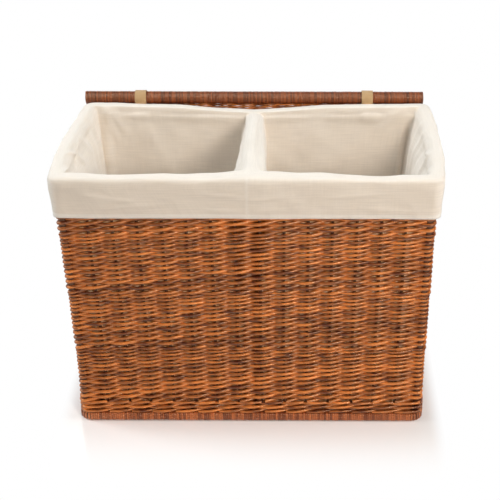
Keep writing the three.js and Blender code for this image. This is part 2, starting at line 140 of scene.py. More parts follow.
@dataclass(frozen=True)
class Plan:
    """Main sizes of the hamper, before its box was centred on the floor.

    Those that a node of the CAD model shows are read from it. The others are the CAD's own
    driving sizes, which its faceted or bowed nodes don't show directly.
    """

    rim_half_x: float = 293 * MM
    rim_half_y: float = round((extent("rim_frame", Y) - extent("rim_frame", Z)) / 2, 6)
    side_flare: float = 7 * MM
    front_flare: float = 6 * MM
    rim_z: float = middle("rim_frame", Z)
    rim_rail: float = 10 * MM
    corner: float = 12 * MM
    post_inset: float = 12 * MM * (1 - math.sqrt(0.5))
    base_rail_width: float = 18 * MM
    base_rail_height: float = extent("base_frame", Z)
    wall_top_z: float = 428.8 * MM
    hem_z: float = 388 * MM
    floor_z: float = 12.3 * MM
    hinge_y: float = round(middle("lid_hinge_rail", Y) - middle("rim_frame", Y), 6)
    hinge_z: float = middle("lid_hinge_rail", Z)
    hinge_rail: float = 11.5 * MM
    lid_half: float = extent("lid_hinge_rail", X) / 2
    lid_frame: float = 8 * MM
    lid_corner: float = 22 * MM
    lid_reach: float = 359.2 * MM
    strap_x: float = middle("hinge_strap_right", X)
    strap_width: float = extent("hinge_strap_right", X)
    shift_y: float = middle("rim_frame", Y)
    long_spaces: int = 15
    short_spaces: int = 7

    def half_x(self, z: float) -> float:
        """The half width of the walls' middle plane at a height."""
        return self.rim_half_x - self.side_flare * (1 - z / self.rim_z)

    def half_y(self, z: float) -> float:
        """The half depth of the walls' middle plane at a height."""
        return self.rim_half_y - self.front_flare * (1 - z / self.rim_z)


PLAN = Plan()


@dataclass(frozen=True)
class HandMade:
    """How the finished basket departs from its straight plan: swollen sides and a pulled back.

    The profiles give how far a wall stands out, in millimetres, at shares of the rim's height.
    """

    height_shares: tuple[float, ...] = (0, 0.1, 0.2, 0.36, 0.53, 0.7, 0.87, 1.0)
    left_profile: tuple[float, ...] = (-0.4, -1.2, -2.3, -1.9, -0.9, 0.9, 1.8, -1.0)
    right_profile: tuple[float, ...] = (0.5, 0, -0.4, -0.3, 0.5, 1.2, 2.3, 2.3)
    front_profile: tuple[float, ...] = (0, -0.2, -0.6, -0.8, -0.2, 0.6, 0.9, 0.0)
    side_bow: float = 8 * MM
    left_skew: float = -3.5 * MM
    right_skew: float = 3 * MM
    back_pull: float = 6 * MM
    back_sag: float = 4 * MM

    def settle(self, points: np.ndarray) -> np.ndarray:
        """Moves points from the straight plan to the finished basket.

        Args:
            points: N points in the hamper's frame, before it is centred on its box.

        Returns:
            The N moved points.
        """
        x, y, z = points.T
        height = np.clip(z / PLAN.rim_z, 0, 1.1)
        across, deep = x / PLAN.rim_half_x, y / PLAN.rim_half_y
        left, right, front = (
            np.interp(height, self.height_shares, profile) * MM
            for profile in (self.left_profile, self.right_profile, self.front_profile)
        )
        bow = self.side_bow * height * (1 - np.clip(deep, -1, 1) ** 2)
        skew = np.where(x > 0, self.right_skew, self.left_skew) * deep * height**2
        middle = np.clip(1 - np.abs(x) / (0.9 * PLAN.rim_half_x), 0, 1) ** 1.3
        pull = middle * height**3 * smooth(0.2, 1.0, deep)
        return np.stack(
            [
                x + across * (np.where(x < 0, left, right) + bow + skew),
                y + deep * front - self.back_pull * pull,
                z - self.back_sag * pull * smooth(0.75, 1.0, height),
            ],
            axis=1,
        )


SHAPE = HandMade()


# Node trees


class Field:
    """A socket that carries numbers, with the usual arithmetic as Math nodes."""

    def __init__(self, nodes: "Nodes", socket: bpy.types.NodeSocket) -> None:
        """Keeps the socket and the tree it belongs to."""
        self.nodes = nodes
        self.socket = socket

    def __add__(self, other: "Field | float") -> "Field":
        """Sum."""
        return self.nodes.math("ADD", self, other)

    def __sub__(self, other: "Field | float") -> "Field":
        """Difference."""
        return self.nodes.math("SUBTRACT", self, other)

    def __mul__(self, other: "Field | float") -> "Field":
        """Product."""
        return self.nodes.math("MULTIPLY", self, other)

    def __truediv__(self, other: "Field | float") -> "Field":
        """Quotient."""
        return self.nodes.math("DIVIDE", self, other)


class Nodes:
    """A node tree that is built by calls."""

    def __init__(self, tree: bpy.types.NodeTree) -> None:
        """Starts from a tree, which may be empty."""
        self.tree = tree

    def node(self, kind: str, links: dict[str, object] | None = None, **settings: object) -> bpy.types.Node:
        """Adds a node.

        Args:
            kind: the node's type name.
            links: values, fields or sockets for its inputs, by name or identifier.
            settings: the node's own properties.

        Returns:
            The new node.
        """
        made = self.tree.nodes.new(kind)
        for name, value in settings.items():
            setattr(made, name, value)
        for name, value in (links or {}).items():
            found = [s for s in made.inputs if s.identifier == name]
            found = found or [s for s in made.inputs if s.name == name and s.enabled]
            self.feed(found[0], value)
        return made

    def feed(self, socket: bpy.types.NodeSocket, value: object) -> None:
        """Gives an input a plain value, or links it to a field, a node or a socket.

        Args:
            socket: the input.
            value: the plain value, field, node or socket.
        """
        if isinstance(value, Field):
            value = value.socket
        if isinstance(value, bpy.types.Node):
            value = next(s for s in value.outputs if s.enabled)
        if isinstance(value, bpy.types.NodeSocket):
            self.tree.links.new(value, socket)
        else:
            socket.default_value = value

    def out(self, node: bpy.types.Node, name: str | None = None) -> Field:
        """An output of a node as a field: the first one, or the one of that name."""
        sockets = [s for s in node.outputs if s.enabled and name in (None, s.name)]
        return Field(self, sockets[0])

    def math(self, operation: str, *values: "Field | float") -> Field:
        """A Math node on one to three values.

        Args:
            operation: what the node does.
            values: its inputs in order.

        Returns:
            The result.
        """
        node = self.tree.nodes.new("ShaderNodeMath")
        node.operation = operation
        for socket, value in zip(node.inputs, values):
            self.feed(socket, value)
        return Field(self, node.outputs[0])

    def vector(self, x: "Field | float", y: "Field | float", z: "Field | float") -> Field:
        """Three numbers as a vector."""
        return self.out(self.node("ShaderNodeCombineXYZ", {"X": x, "Y": y, "Z": z}))

    def noise(self, place: Field, scale: float, detail: float = 2.0) -> Field:
        """Noise from 0 to 1 at a place."""
        links = {"Vector": place, "Scale": scale, "Detail": detail}
        return self.out(self.node("ShaderNodeTexNoise", links), "Fac")

    def between(self, low: "Field | float", high: "Field | float", share: "Field | float") -> Field:
        """A value between two others by its share."""
        return self.math("MULTIPLY_ADD", self.math("SUBTRACT", high, low), share, low)

    def split(self, vector: object) -> list[Field]:
        """The three numbers of a vector."""
        parts = self.node("ShaderNodeSeparateXYZ", {"Vector": vector})
        return [self.out(parts, axis) for axis in "XYZ"]

    def painted(self, name: str, output: str = "Fac") -> Field:
        """A named attribute of the mesh, in a material."""
        return self.out(self.node("ShaderNodeAttribute", attribute_name=name), output)

    def blend(self, share: Field, first: object, second: object) -> Field:
        """A colour between two others by a share."""
        links = {"Factor_Float": share, "A_Color": first, "B_Color": second}
        return self.out(self.node("ShaderNodeMix", links, data_type="RGBA"))


class Pattern(Nodes):
    """A Geometry Nodes tree with named inputs that makes one repeated shape."""

    KINDS = {float: "NodeSocketFloat", int: "NodeSocketInt"}

    def __init__(self, name: str, inputs: dict[str, float | int]) -> None:
        """Makes the tree, its sockets and its two group nodes.

        Args:
            name: the tree's name.
            inputs: default value of each number that the tree takes.
        """
        super().__init__(bpy.data.node_groups.new(name, "GeometryNodeTree"))
        face = self.tree.interface
        face.new_socket("Geometry", in_out="INPUT", socket_type="NodeSocketGeometry")
        self.identifiers: dict[str, str] = {}
        for label, value in inputs.items():
            item = face.new_socket(label, in_out="INPUT", socket_type=self.KINDS[type(value)])
            item.default_value = value
            self.identifiers[label] = item.identifier
        item = face.new_socket("Finish", in_out="INPUT", socket_type="NodeSocketMaterial")
        self.identifiers["Finish"] = item.identifier
        face.new_socket("Geometry", in_out="OUTPUT", socket_type="NodeSocketGeometry")
        self.start = self.tree.nodes.new("NodeGroupInput")
        self.end = self.tree.nodes.new("NodeGroupOutput")

    def given(self, name: str) -> Field:
        """An input of the tree as a field."""
        return Field(self, self.start.outputs[name])

    def store(self, geometry: object, name: str, value: Field, domain: str = "POINT") -> bpy.types.Node:
        """Keeps a number on each point, or on each instance, under a name."""
        links = {"Geometry": geometry, "Name": name, "Value": value}
        return self.node("GeometryNodeStoreNamedAttribute", links, data_type="FLOAT", domain=domain)

    def givens(self, *names: str) -> list[Field]:
        """Several inputs of the tree."""
        return [self.given(name) for name in names]

    def tube(self, curve: object, radius: "Field | float", sides: int) -> bpy.types.Node:
        """A closed tube round each curve.

        Args:
            curve: the curves.
            radius: the tube's radius.
            sides: how many sides it has.

        Returns:
            The node that makes the tubes.
        """
        circle = self.node("GeometryNodeCurvePrimitiveCircle", {"Resolution": sides, "Radius": 1.0})
        links = {"Curve": curve, "Profile Curve": circle, "Scale": radius, "Fill Caps": True}
        return self.node("GeometryNodeCurveToMesh", links)

    def spots(self) -> bpy.types.Node:
        """Points along the path of the base mesh, one pitch apart.

        Returns:
            The node that makes the points.
        """
        path = self.node("GeometryNodeMeshToCurve", {"Mesh": self.start.outputs["Geometry"]})
        links = {"Curve": path, "Length": self.given("Pitch")}
        return self.node("GeometryNodeResampleCurve", links, mode="LENGTH")

    def close(self, geometry: object) -> None:
        """Ends the tree with smooth faces, real geometry and the finish.

        Args:
            geometry: what the tree has made.
        """
        smoothed = self.node("GeometryNodeSetShadeSmooth", {"Geometry": geometry})
        real = self.node("GeometryNodeRealizeInstances", {"Geometry": smoothed})
        links = {"Geometry": real, "Material": self.given("Finish")}
        self.feed(self.end.inputs["Geometry"], self.node("GeometryNodeSetMaterial", links))

    def make(
        self, finish: bpy.types.Material, values: dict[str, Value], base: bpy.types.Mesh | None = None
    ) -> bpy.types.Mesh:
        """Runs the tree once.

        Args:
            finish: the material of what it makes.
            values: inputs that differ from their default values, by name.
            base: the mesh that the tree starts from, where it follows a path.

        Returns:
            A plain mesh.
        """
        holder = put_in_scene("holder", base or bpy.data.meshes.new("holder"))
        modifier = holder.modifiers.new("pattern", "NODES")
        modifier.node_group = self.tree
        for name, value in {**values, "Finish": finish}.items():
            modifier[self.identifiers[name]] = value
        bpy.context.view_layer.update()
        evaluated = holder.evaluated_get(bpy.context.evaluated_depsgraph_get())
        mesh = bpy.data.meshes.new_from_object(evaluated)
        bpy.data.objects.remove(holder)
        return mesh


class Randing(Pattern):
    """Rods woven in and out of a row of stakes, each rising as it goes to the right.

    A rod's run counts the stakes that it has passed since the foot of the wall. It rises fast
    where it is thick, at its butt, and slowly where it is thin, at its tip, and the next set of
    rods starts where the last one ends. The wall stands towards -Y and turns by Turn about Z.
    """

    SAMPLES = 8
    SIDES = 6
    EASING = 0.3
    THINNEST = 0.9
    THICKEST = 1.08
    WANDER_GAIN = 4
    WANDER_ALONG = 0.9
    WANDER_APART = 7.3
    SIZE_APART = 3.7

    def __init__(self) -> None:
        """Builds the tree."""
        super().__init__(
            "randing",
            {
                "Spaces": 15, "Rods": 120, "First": 0, "Strokes": 26.0, "Sets": 4.0,
                "Foot": 0.036, "Set Height": 0.098, "Thickening": 0.25,
                "Butt": 0.0023, "Tip": 0.0014, "Stake": 0.004,
                "Period": 2.0, "Offset": 0.0, "Reach": 1.0, "Bias": 0.0,
                "Run Low": 0.28, "Run High": 0.28, "Out Low": 0.15, "Out High": 0.15,
                "High": 0.441, "Inset": 0.0, "Wrap": 0.18, "Bend": 0.0,
                "Turn": 0.0, "Wander": 0.0006, "Seed": 0,
            },
        )
        spaces, strokes, sets, seed = self.givens("Spaces", "Strokes", "Sets", "Seed")
        index = self.out(self.node("GeometryNodeInputIndex"))
        samples = spaces * self.SAMPLES + 1
        rod = self.math("FLOOR", (index + 0.5) / samples)
        share = (index - rod * samples) / (samples - 1)
        eased = share - self.math("SINE", share * (2 * math.pi)) * (self.EASING / (2 * math.pi))
        along = eased * spaces
        run = along + rod - spaces
        identity = rod - spaces - self.given("First")
        part, height = self.climb(run, identity)
        butt, tip, offset, period, reach, bias, stake = self.givens(
            "Butt", "Tip", "Offset", "Period", "Reach", "Bias", "Stake"
        )
        size = self.noise(self.vector(identity * self.SIZE_APART, 0.5, 0.5), 1.0, 0.0)
        radius = self.between(butt, tip, part) * self.between(self.THINNEST, self.THICKEST, size)
        turn = (run - offset) * (2 * math.pi) / period
        depth = (self.math("COSINE", turn) * reach + bias) * (stake + radius)
        links = {"Count": self.given("Rods") * samples, "Position": self.plan_point(along, depth, height)}
        kept = self.node("GeometryNodePoints", links)
        chance = self.node("FunctionNodeRandomValue", {"ID": identity, "Seed": seed}, data_type="FLOAT")
        kept_values = {"tone": self.out(chance), "run": run, "thick": radius, "rod": rod}
        for name, value in kept_values.items():
            kept = self.store(kept, name, value)
        past = self.math("GREATER_THAN", run, strokes * sets)
        outside = self.math("MAXIMUM", self.math("LESS_THAN", run, 0.0), past)
        links = {"Geometry": kept, "Selection": outside}
        kept = self.node("GeometryNodeDeleteGeometry", links, domain="POINT")
        links = {"Points": kept, "Curve Group ID": self.read("rod"), "Weight": self.read("run")}
        rods = self.node("GeometryNodePointsToCurves", links)
        self.close(self.tube(rods, self.read("thick"), self.SIDES))

    def climb(self, run: Field, identity: Field) -> tuple[Field, Field]:
        """How a rod rises.

        Args:
            run: how many stakes have been passed since the foot of the wall.
            identity: the rod's number.

        Returns:
            The share of its set that is done, and the height above the floor.
        """
        strokes, seed, thickening = self.givens("Strokes", "Seed", "Thickening")
        foot, set_height = self.givens("Foot", "Set Height")
        done, part = self.math("FLOOR", run / strokes), self.math("FRACT", run / strokes)
        slow = part * (part * -1 + 1) * thickening
        place = self.vector(run * self.WANDER_ALONG, identity * self.WANDER_APART, seed)
        wander = (self.noise(place, 1.0) - 0.5) * self.given("Wander") * self.WANDER_GAIN
        return part, foot + set_height * (done + part + slow) + wander

    def read(self, name: str) -> Field:
        """A named attribute as a field."""
        return self.out(self.node("GeometryNodeInputNamedAttribute", {"Name": name}, data_type="FLOAT"))

    def plan_point(self, along: Field, depth: Field, height: Field) -> Field:
        """A point of the wall, which turns round a post at each end.

        Args:
            along: how far along the wall, in spaces from its first post.
            depth: how far out of the wall's middle plane.
            height: how far above the floor.

        Returns:
            The point as a vector field.
        """
        rise = height / self.given("High")
        run = self.between(*self.givens("Run Low", "Run High"), rise)
        out = self.between(*self.givens("Out Low", "Out High"), rise)
        inset, wrap, spaces = self.givens("Inset", "Wrap", "Spaces")
        left = spaces - along
        past_start, before_end = (
            self.math("MAXIMUM", self.math("MINIMUM", way, (way - wrap) / (wrap * -1 + 1)), 0.0)
            for way in (along, left)
        )
        start_turn, end_turn = (
            self.math("MAXIMUM", way / wrap * -1 + 1, 0.0) for way in (along, left)
        )
        angle = (end_turn - start_turn) * self.given("Bend")
        place = (past_start + left - before_end) / spaces * 2 - 1
        radius = inset + depth
        x = place * (run - inset) + self.math("SINE", angle) * radius
        y = (out - inset + self.math("COSINE", angle) * radius) * -1
        links = {"Vector": self.vector(x, y, height), "Angle": self.given("Turn")}
        return self.out(self.node("ShaderNodeVectorRotate", links, rotation_type="Z_AXIS"))


class Winding(Pattern):
    """Skein wound round a rail: flat closed turns, side by side along the path of the base mesh."""

    LEAN_SPREAD = 0.03
    TILT_SPREAD = 0.02
    SMALLEST = 0.965
    OVERLAP = 0.56

    def __init__(self) -> None:
        """Builds the tree."""
        super().__init__(
            "winding",
            {
                "Pitch": 0.0038, "Width": 0.018, "Height": 0.018, "Rounding": 0.0089,
                "Skein": 0.0011, "Up X": 0.0, "Up Y": 0.0, "Up Z": 1.0, "Lean": 0.06, "Seed": 3,
            },
        )
        spots = self.spots()
        tangent = self.out(self.node("GeometryNodeInputTangent"))
        width, height, rounding, skein, pitch, seed = self.givens(
            "Width", "Height", "Rounding", "Skein", "Pitch", "Seed"
        )
        links = {"Primary Axis": tangent, "Secondary Axis": self.vector(*self.givens("Up X", "Up Y", "Up Z"))}
        facing = self.node("FunctionNodeAxesToRotation", links, primary_axis="Z", secondary_axis="Y")
        lean = self.random(-self.LEAN_SPREAD, self.LEAN_SPREAD, seed) + self.given("Lean")
        tilt = self.random(-self.TILT_SPREAD, self.TILT_SPREAD, seed + 1)
        leaning = self.node("FunctionNodeEulerToRotation", {"Euler": self.vector(tilt, lean, 0.0)})
        links = {"Rotation": facing, "Rotate By": leaning}
        rotation = self.node("FunctionNodeRotateRotation", links, rotation_space="LOCAL")
        links = {"Width": width - skein * 2, "Height": height - skein * 2}
        section = self.node("GeometryNodeCurvePrimitiveQuadrilateral", links)
        links = {"Curve": section, "Radius": rounding - skein, "Count": 4, "Limit Radius": True}
        rounded = self.node("GeometryNodeFilletCurve", links, mode="POLY")
        strand = self.node("GeometryNodeCurvePrimitiveCircle", {"Resolution": 6, "Radius": 1.0})
        links = {"Geometry": strand, "Scale": self.vector(skein, pitch * self.OVERLAP, 1.0)}
        flat = self.node("GeometryNodeTransform", links)
        links = {"Curve": rounded, "Profile Curve": flat, "Scale": 1.0}
        ring = self.node("GeometryNodeCurveToMesh", links)
        size = self.random(self.SMALLEST, 1.0, seed + 2)
        links = {
            "Points": spots, "Instance": ring, "Rotation": rotation, "Scale": self.vector(size, size, 1.0)
        }
        turns = self.node("GeometryNodeInstanceOnPoints", links)
        self.close(self.store(turns, "tone", self.random(0.0, 1.0, seed + 3), "INSTANCE"))

    def random(self, low: float, high: float, seed: Field) -> Field:
        """A random number for each turn."""
        links = {"Min_001": low, "Max_001": high, "Seed": seed}
        return self.out(self.node("FunctionNodeRandomValue", links, data_type="FLOAT"))


class Stitching(Pattern):
    """A row of short stitches along the path of the base mesh."""

    def __init__(self) -> None:
        """Builds the tree."""
        super().__init__("stitching", {"Pitch": 0.0034, "Length": 0.0022, "Thread": 0.0003})
        spots = self.spots()
        tangent = self.out(self.node("GeometryNodeInputTangent"))
        facing = self.node("FunctionNodeAlignRotationToVector", {"Vector": tangent}, axis="Z")
        stitch = self.node("GeometryNodeMeshUVSphere", {"Segments": 6, "Rings": 4, "Radius": 1.0})
        thread, length = self.givens("Thread", "Length")
        links = {"Geometry": stitch, "Scale": self.vector(thread, thread, length / 2)}
        drawn = self.node("GeometryNodeTransform", links)
        links = {"Points": spots, "Instance": drawn, "Rotation": facing}
        self.close(self.node("GeometryNodeInstanceOnPoints", links))


# Finishes


def linear(red: int, green: int, blue: int) -> tuple[float, float, float, float]:
    """A colour for a shader from its 0 to 255 screen values."""
    shares = (c / 255 for c in (red, green, blue))
    return (*(s / 12.92 if s <= 0.04045 else ((s + 0.055) / 1.055) ** 2.4 for s in shares), 1.0)


def blank_material(name: str) -> tuple[bpy.types.Material, Nodes]:
    """A new material with an empty tree.

    Args:
        name: the material's name.

    Returns:
        The material, and its tree.
    """
    made = bpy.data.materials.new(name)
    made.use_nodes = True
    made.node_tree.nodes.clear()
    return made, Nodes(made.node_tree)


@dataclass(frozen=True)
class Willow:
    """Stained and varnished willow rods or skeins."""

    name: str
    dark: tuple[int, int, int]
    light: tuple[int, int, int]
    roughness: float = 0.4
    streak: float = 1.0
    variety: float = 0.8
    grain: float = 0.9
    stain: float = 0.16
    streak_scale: tuple[float, float] = (2.2, 40.0)
    stain_scale: float = 34.0
    bark_scale: float = 900.0
    ripple_scale: float = 260.0
    grain_scale: tuple[float, float, float] = (34.0, 620.0, 30.0)
    ramp_ends: tuple[float, float] = (0.18, 0.9)
    varnish_tint: tuple[float, ...] = (1.0, 0.8, 0.55, 1.0)

    def material(self) -> bpy.types.Material:
        """The material: each rod has its own tone, with streaks along it and fine bark.

        Returns:
            The new material.
        """
        made, n = blank_material(self.name)
        place = n.out(n.node("ShaderNodeTexCoord"), "Object")
        tone, run = n.painted("tone"), n.painted("run")
        along, apart = self.streak_scale
        streaks = n.noise(n.vector(run * along, tone * apart, 0.0), 1.0, 3.0)
        stain = n.noise(place, self.stain_scale, 3.0)
        bark = n.noise(place, self.bark_scale, 2.0)
        ripples = n.noise(place, self.ripple_scale, 2.0)
        x, y, z = n.split(place)
        flat, upright, apart = self.grain_scale
        grain = n.noise(n.vector((x + y) * flat, z * upright, tone * apart), 1.0, 2.0)
        share = (tone - 0.5) * self.variety + (streaks - 0.5) * self.streak
        share = share + (stain - 0.5) * self.stain + (grain - 0.5) * self.grain
        ramp = n.node("ShaderNodeValToRGB", {"Fac": share + 0.5})
        low, high = ramp.color_ramp.elements
        low.color, high.color = linear(*self.dark), linear(*self.light)
        low.position, high.position = self.ramp_ends
        links = {"Height": bark + ripples, "Strength": 0.3, "Distance": 0.0005}
        shader = n.node(
            "ShaderNodeBsdfPrincipled",
            {
                "Base Color": n.out(ramp, "Color"),
                "Roughness": n.between(self.roughness - 0.08, self.roughness + 0.14, bark),
                "Normal": n.node("ShaderNodeBump", links),
                "Specular IOR Level": 1.0,
                "Specular Tint": self.varnish_tint,
                "Coat Weight": 0.12,
                "Coat Roughness": 0.2,
            },
        )
        n.node("ShaderNodeOutputMaterial", {"Surface": shader})
        return made


@dataclass(frozen=True)
class Cloth:
    """Woven cotton, read from the piece's own UV map in metres."""

    name: str
    colour: tuple[int, int, int]
    doubled: tuple[int, int, int]
    thread: float = 0.0007
    relief: float = 0.00012
    slub: float = 0.5
    glow: float = 0.0
    # behind: colour of painted warm light bounced off the rods, on the bags' outer side behind the weave
    behind: tuple[int, int, int] = (0, 0, 0)
    slub_across: float = 420.0
    slub_along: float = 22.0
    cloud_scale: float = 18.0
    contrast: float = 0.26

    def material(self) -> bpy.types.Material:
        """The material: crossed threads with slubs, paler where the cloth lies double, with painted warm
        bounce light behind the weave.

        Returns:
            The new material.
        """
        made, n = blank_material(self.name)
        u, v, _ = n.split(n.node("ShaderNodeUVMap", uv_map="weave"))
        tau = 2 * math.pi / self.thread
        warp, weft = n.math("SINE", u * tau), n.math("SINE", v * tau)
        across, along, cloud = self.slub_across, self.slub_along, self.cloud_scale
        slub_u = n.noise(n.vector(u * across, v * along, 0.0), 1.0, 2.0)
        slub_v = n.noise(n.vector(u * along, v * across, 3.0), 1.0, 2.0)
        cloudy = n.noise(n.vector(u * cloud, v * cloud, 7.0), 1.0, 3.0)
        slubs = (slub_u - 0.5) * 0.7 + (slub_v - 0.5) * 1.5
        shade = slubs * self.slub + (cloudy - 0.5) * 0.35
        base = n.blend(n.painted("doubled"), linear(*self.colour), linear(*self.doubled))
        # painted warm bounce light from the rods, on the cloth seen through the weave's gaps
        if any(self.behind):
            base = n.blend(self.painted_bounce_mask(n), base, linear(*self.behind))
        value = n.math("MULTIPLY_ADD", shade, self.contrast, 1.0)
        toned = n.node("ShaderNodeHueSaturation", {"Color": base, "Value": value})
        links = {"Height": warp * weft * 0.5 + slubs, "Strength": 0.5, "Distance": self.relief}
        shader = n.node(
            "ShaderNodeBsdfPrincipled",
            {
                "Base Color": n.out(toned),
                "Roughness": 0.92,
                "Normal": n.node("ShaderNodeBump", links),
                "Subsurface Weight": self.glow,
                "Subsurface Radius": (1.0, 1.0, 1.0),
                "Subsurface Scale": 2 * MM,
                "Sheen Weight": 0.15,
                "Sheen Roughness": 0.5,
            },
        )
        n.node("ShaderNodeOutputMaterial", {"Surface": shader})
        return made

    def painted_bounce_mask(self, n: Nodes) -> Field:
        """Whether a point is on the bags' outer side, behind the weave, where painted warm light bounced off
        the rods tints it.

        Args:
            n: the material's tree.

        Returns:
            1 there and 0 elsewhere.
        """
        height = n.split(n.out(n.node("ShaderNodeTexCoord"), "Object"))[2]
        shown = n.split(n.painted("facing", "Vector"))
        faced = n.split(n.out(n.node("ShaderNodeNewGeometry"), "True Normal"))
        match = shown[0] * faced[0] + shown[1] * faced[1] + shown[2] * faced[2]
        return n.math("LESS_THAN", match, 0.0) * n.math("LESS_THAN", height, PLAN.hem_z)


class Finishes:
    """All the finishes of the hamper."""

    def __init__(self) -> None:
        """Makes the materials."""
        self.rods = Willow("woven_rods", (88, 28, 9), (238, 142, 68), 0.32, 1.0, 0.45, 1.25).material()
        self.skein = Willow("wound_skein", (112, 46, 20), (204, 114, 62), 0.36, 0.4, 0.6, 0.3).material()
        self.dark_skein = Willow("dark_skein", (78, 26, 8), (158, 80, 36), 0.3, 0.4, 0.5, 0.3).material()
        self.sticks = Willow("stakes", (66, 30, 16), (124, 66, 36), 0.5).material()
        # the behind colour is a painted warm bounce light from the rods, on the bags' outer side seen through
        # the weave
        self.cotton = Cloth(
            "cotton", (234, 224, 212), (242, 235, 226), glow=0.75, behind=(254, 208, 172)
        ).material()
        self.webbing = Cloth("webbing", (184, 152, 110), (184, 152, 110), 0.0016, 0.0003, 0.3).material()
        self.thread = Cloth("thread", (238, 230, 214), (238, 230, 214), 0.0003).material()


# Pieces


def add_piece(
    name: str, mesh: bpy.types.Mesh, body: str, replaced: Iterable[str] = ()
) -> bpy.types.Object:
    """Adds a finished mesh to the hamper.

    Args:
        name: the piece's name.
        mesh: its mesh, already in place.
        body: the CAD body that it rides on.
        replaced: the CAD nodes that it stands for.

    Returns:
        The new object.
    """
    mesh.name = name
    piece = put_in_scene(name, mesh)
    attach(piece, body)
    nodes = list(replaced)
    if nodes:
        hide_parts(*nodes)
    log.info("%s: %d faces on %s", name, len(mesh.polygons), body)
    return piece


def move_points(mesh: bpy.types.Mesh, move: Callable[[np.ndarray], np.ndarray]) -> bpy.types.Mesh:
    """Moves all the vertices of a mesh at once, and returns the mesh.

    Args:
        mesh: the mesh.
        move: gives the new places for N places.

    Returns:
        The same mesh.
    """
    points = np.empty(len(mesh.vertices) * 3)
    mesh.vertices.foreach_get("co", points)
    mesh.vertices.foreach_set("co", move(points.reshape(-1, 3)).ravel())
    mesh.update()
    return mesh


def settled(mesh: bpy.types.Mesh) -> bpy.types.Mesh:
    """A mesh of the straight plan, moved to the finished basket and to its place on the floor."""
    return move_points(mesh, lambda p: SHAPE.settle(p) + np.array([0, PLAN.shift_y, 0]))


def shifted(mesh: bpy.types.Mesh) -> bpy.types.Mesh:
    """A mesh in the straight plan, moved to its place on the floor."""
    return move_points(mesh, lambda p: p + np.array([0, PLAN.shift_y, 0]))


def joined(*meshes: bpy.types.Mesh) -> bpy.types.Mesh:
    """Several meshes as one.

    Args:
        meshes: the meshes, which are removed.

    Returns:
        A new mesh with all their faces and materials.
    """
    whole = bmesh.new()
    materials: list[bpy.types.Material] = []
    for mesh in meshes:
        offset = len(whole.faces)
        whole.from_mesh(mesh)
        whole.faces.ensure_lookup_table()
        slots = []
        for material in mesh.materials:
            if material not in materials:
                materials.append(material)
            slots.append(materials.index(material))
        for face in whole.faces[offset:]:
            face.material_index = slots[face.material_index] if slots else 0
    made = bpy.data.meshes.new("joined")
    whole.to_mesh(made)
    whole.free()
    for material in materials:
        made.materials.append(material)
    for mesh in meshes:
        bpy.data.meshes.remove(mesh)
    return made


def dressed(mesh: bpy.types.Mesh, material: bpy.types.Material) -> bpy.types.Mesh:
    """A mesh with smooth faces and one material.

    Args:
        mesh: the mesh.
        material: its material.

    Returns:
        The same mesh.
    """
    mesh.polygons.foreach_set("use_smooth", [True] * len(mesh.polygons))
    mesh.materials.append(material)
    return mesh


def path_mesh(points: Sequence[Sequence[float]], closed: bool = False) -> bpy.types.Mesh:
    """A line of edges through points.

    Args:
        points: the points in order.
        closed: whether the last one joins the first.

    Returns:
        A mesh of edges.
    """
    count = len(points)
    edges = [(i, (i + 1) % count) for i in range(count if closed else count - 1)]
    return mesh_of("path", [tuple(p) for p in points], edges=edges)


def rounded_loop(
    half_x: float, half_y: float, radius: float, z: float, steps: int = 8, straight: int = 24
) -> list[tuple[float, float, float]]:
    """A rounded rectangle in plan, counter-clockwise, as a closed list of points.

    Args:
        half_x: half its size along X.
        half_y: half its size along Y.
        radius: radius of its corners.
        z: its height.
        steps: how many steps turn a corner.
        straight: how many steps go along a side.

    Returns:
        The points.
    """
    corners = [(1, -1), (1, 1), (-1, 1), (-1, -1)]

    def on_corner(i: int, angle: float) -> tuple[float, float, float]:
        """A point of a corner's arc, at an angle from +X.

        Args:
            i: the corner's number.
            angle: the angle, in radians.

        Returns:
            The point.
        """
        sx, sy = corners[i % 4]
        x = sx * (half_x - radius) + radius * math.cos(angle)
        return x, sy * (half_y - radius) + radius * math.sin(angle), z

    points = []
    for i in range(4):
        points += [on_corner(i, (i - 1 + k / steps) * math.pi / 2) for k in range(steps + 1)]
        last, first = np.array(points[-1]), np.array(on_corner(i + 1, i * math.pi / 2))
        points += [tuple(last + (first - last) * t / straight) for t in range(1, straight)]
    return points


def swept(
    path: np.ndarray, section: np.ndarray, up: Sequence[float], material: bpy.types.Material, closed: bool
) -> bpy.types.Mesh:
    """A section carried along a path.

    Args:
        path: N points.
        section: M pairs, across the path and along up.
        up: the direction of the section's second number.
        material: the finish.
        closed: whether the path is a ring.

    Returns:
        A closed mesh.
    """
    ahead = np.roll(path, -1, axis=0) - np.roll(path, 1, axis=0)
    if not closed:
        ahead[0], ahead[-1] = path[1] - path[0], path[-1] - path[-2]
    ahead /= np.linalg.norm(ahead, axis=1)[:, None]
    lift = np.array(up, float)
    across = np.cross(ahead, lift)
    across /= np.linalg.norm(across, axis=1)[:, None]
    rings = path[:, None] + section[None, :, :1] * across[:, None] + section[None, :, 1:] * lift
    count, sides = rings.shape[:2]
    faces = []
    for i in range(count if closed else count - 1):
        for j in range(sides):
            a, b = i * sides, (i + 1) % count * sides
            k = (j + 1) % sides
            faces.append((a + j, a + k, b + k, b + j))
    if not closed:
        faces += [tuple(range(sides))[::-1], tuple((count - 1) * sides + j for j in range(sides))]
    return dressed(mesh_of("swept", rings.reshape(-1, 3).tolist(), faces), material)


def circle(radius: float, sides: int = 16) -> np.ndarray:
    """A circle as pairs."""
    angles = np.arange(sides) * 2 * math.pi / sides
    return radius * np.stack([np.cos(angles), np.sin(angles)], axis=1)


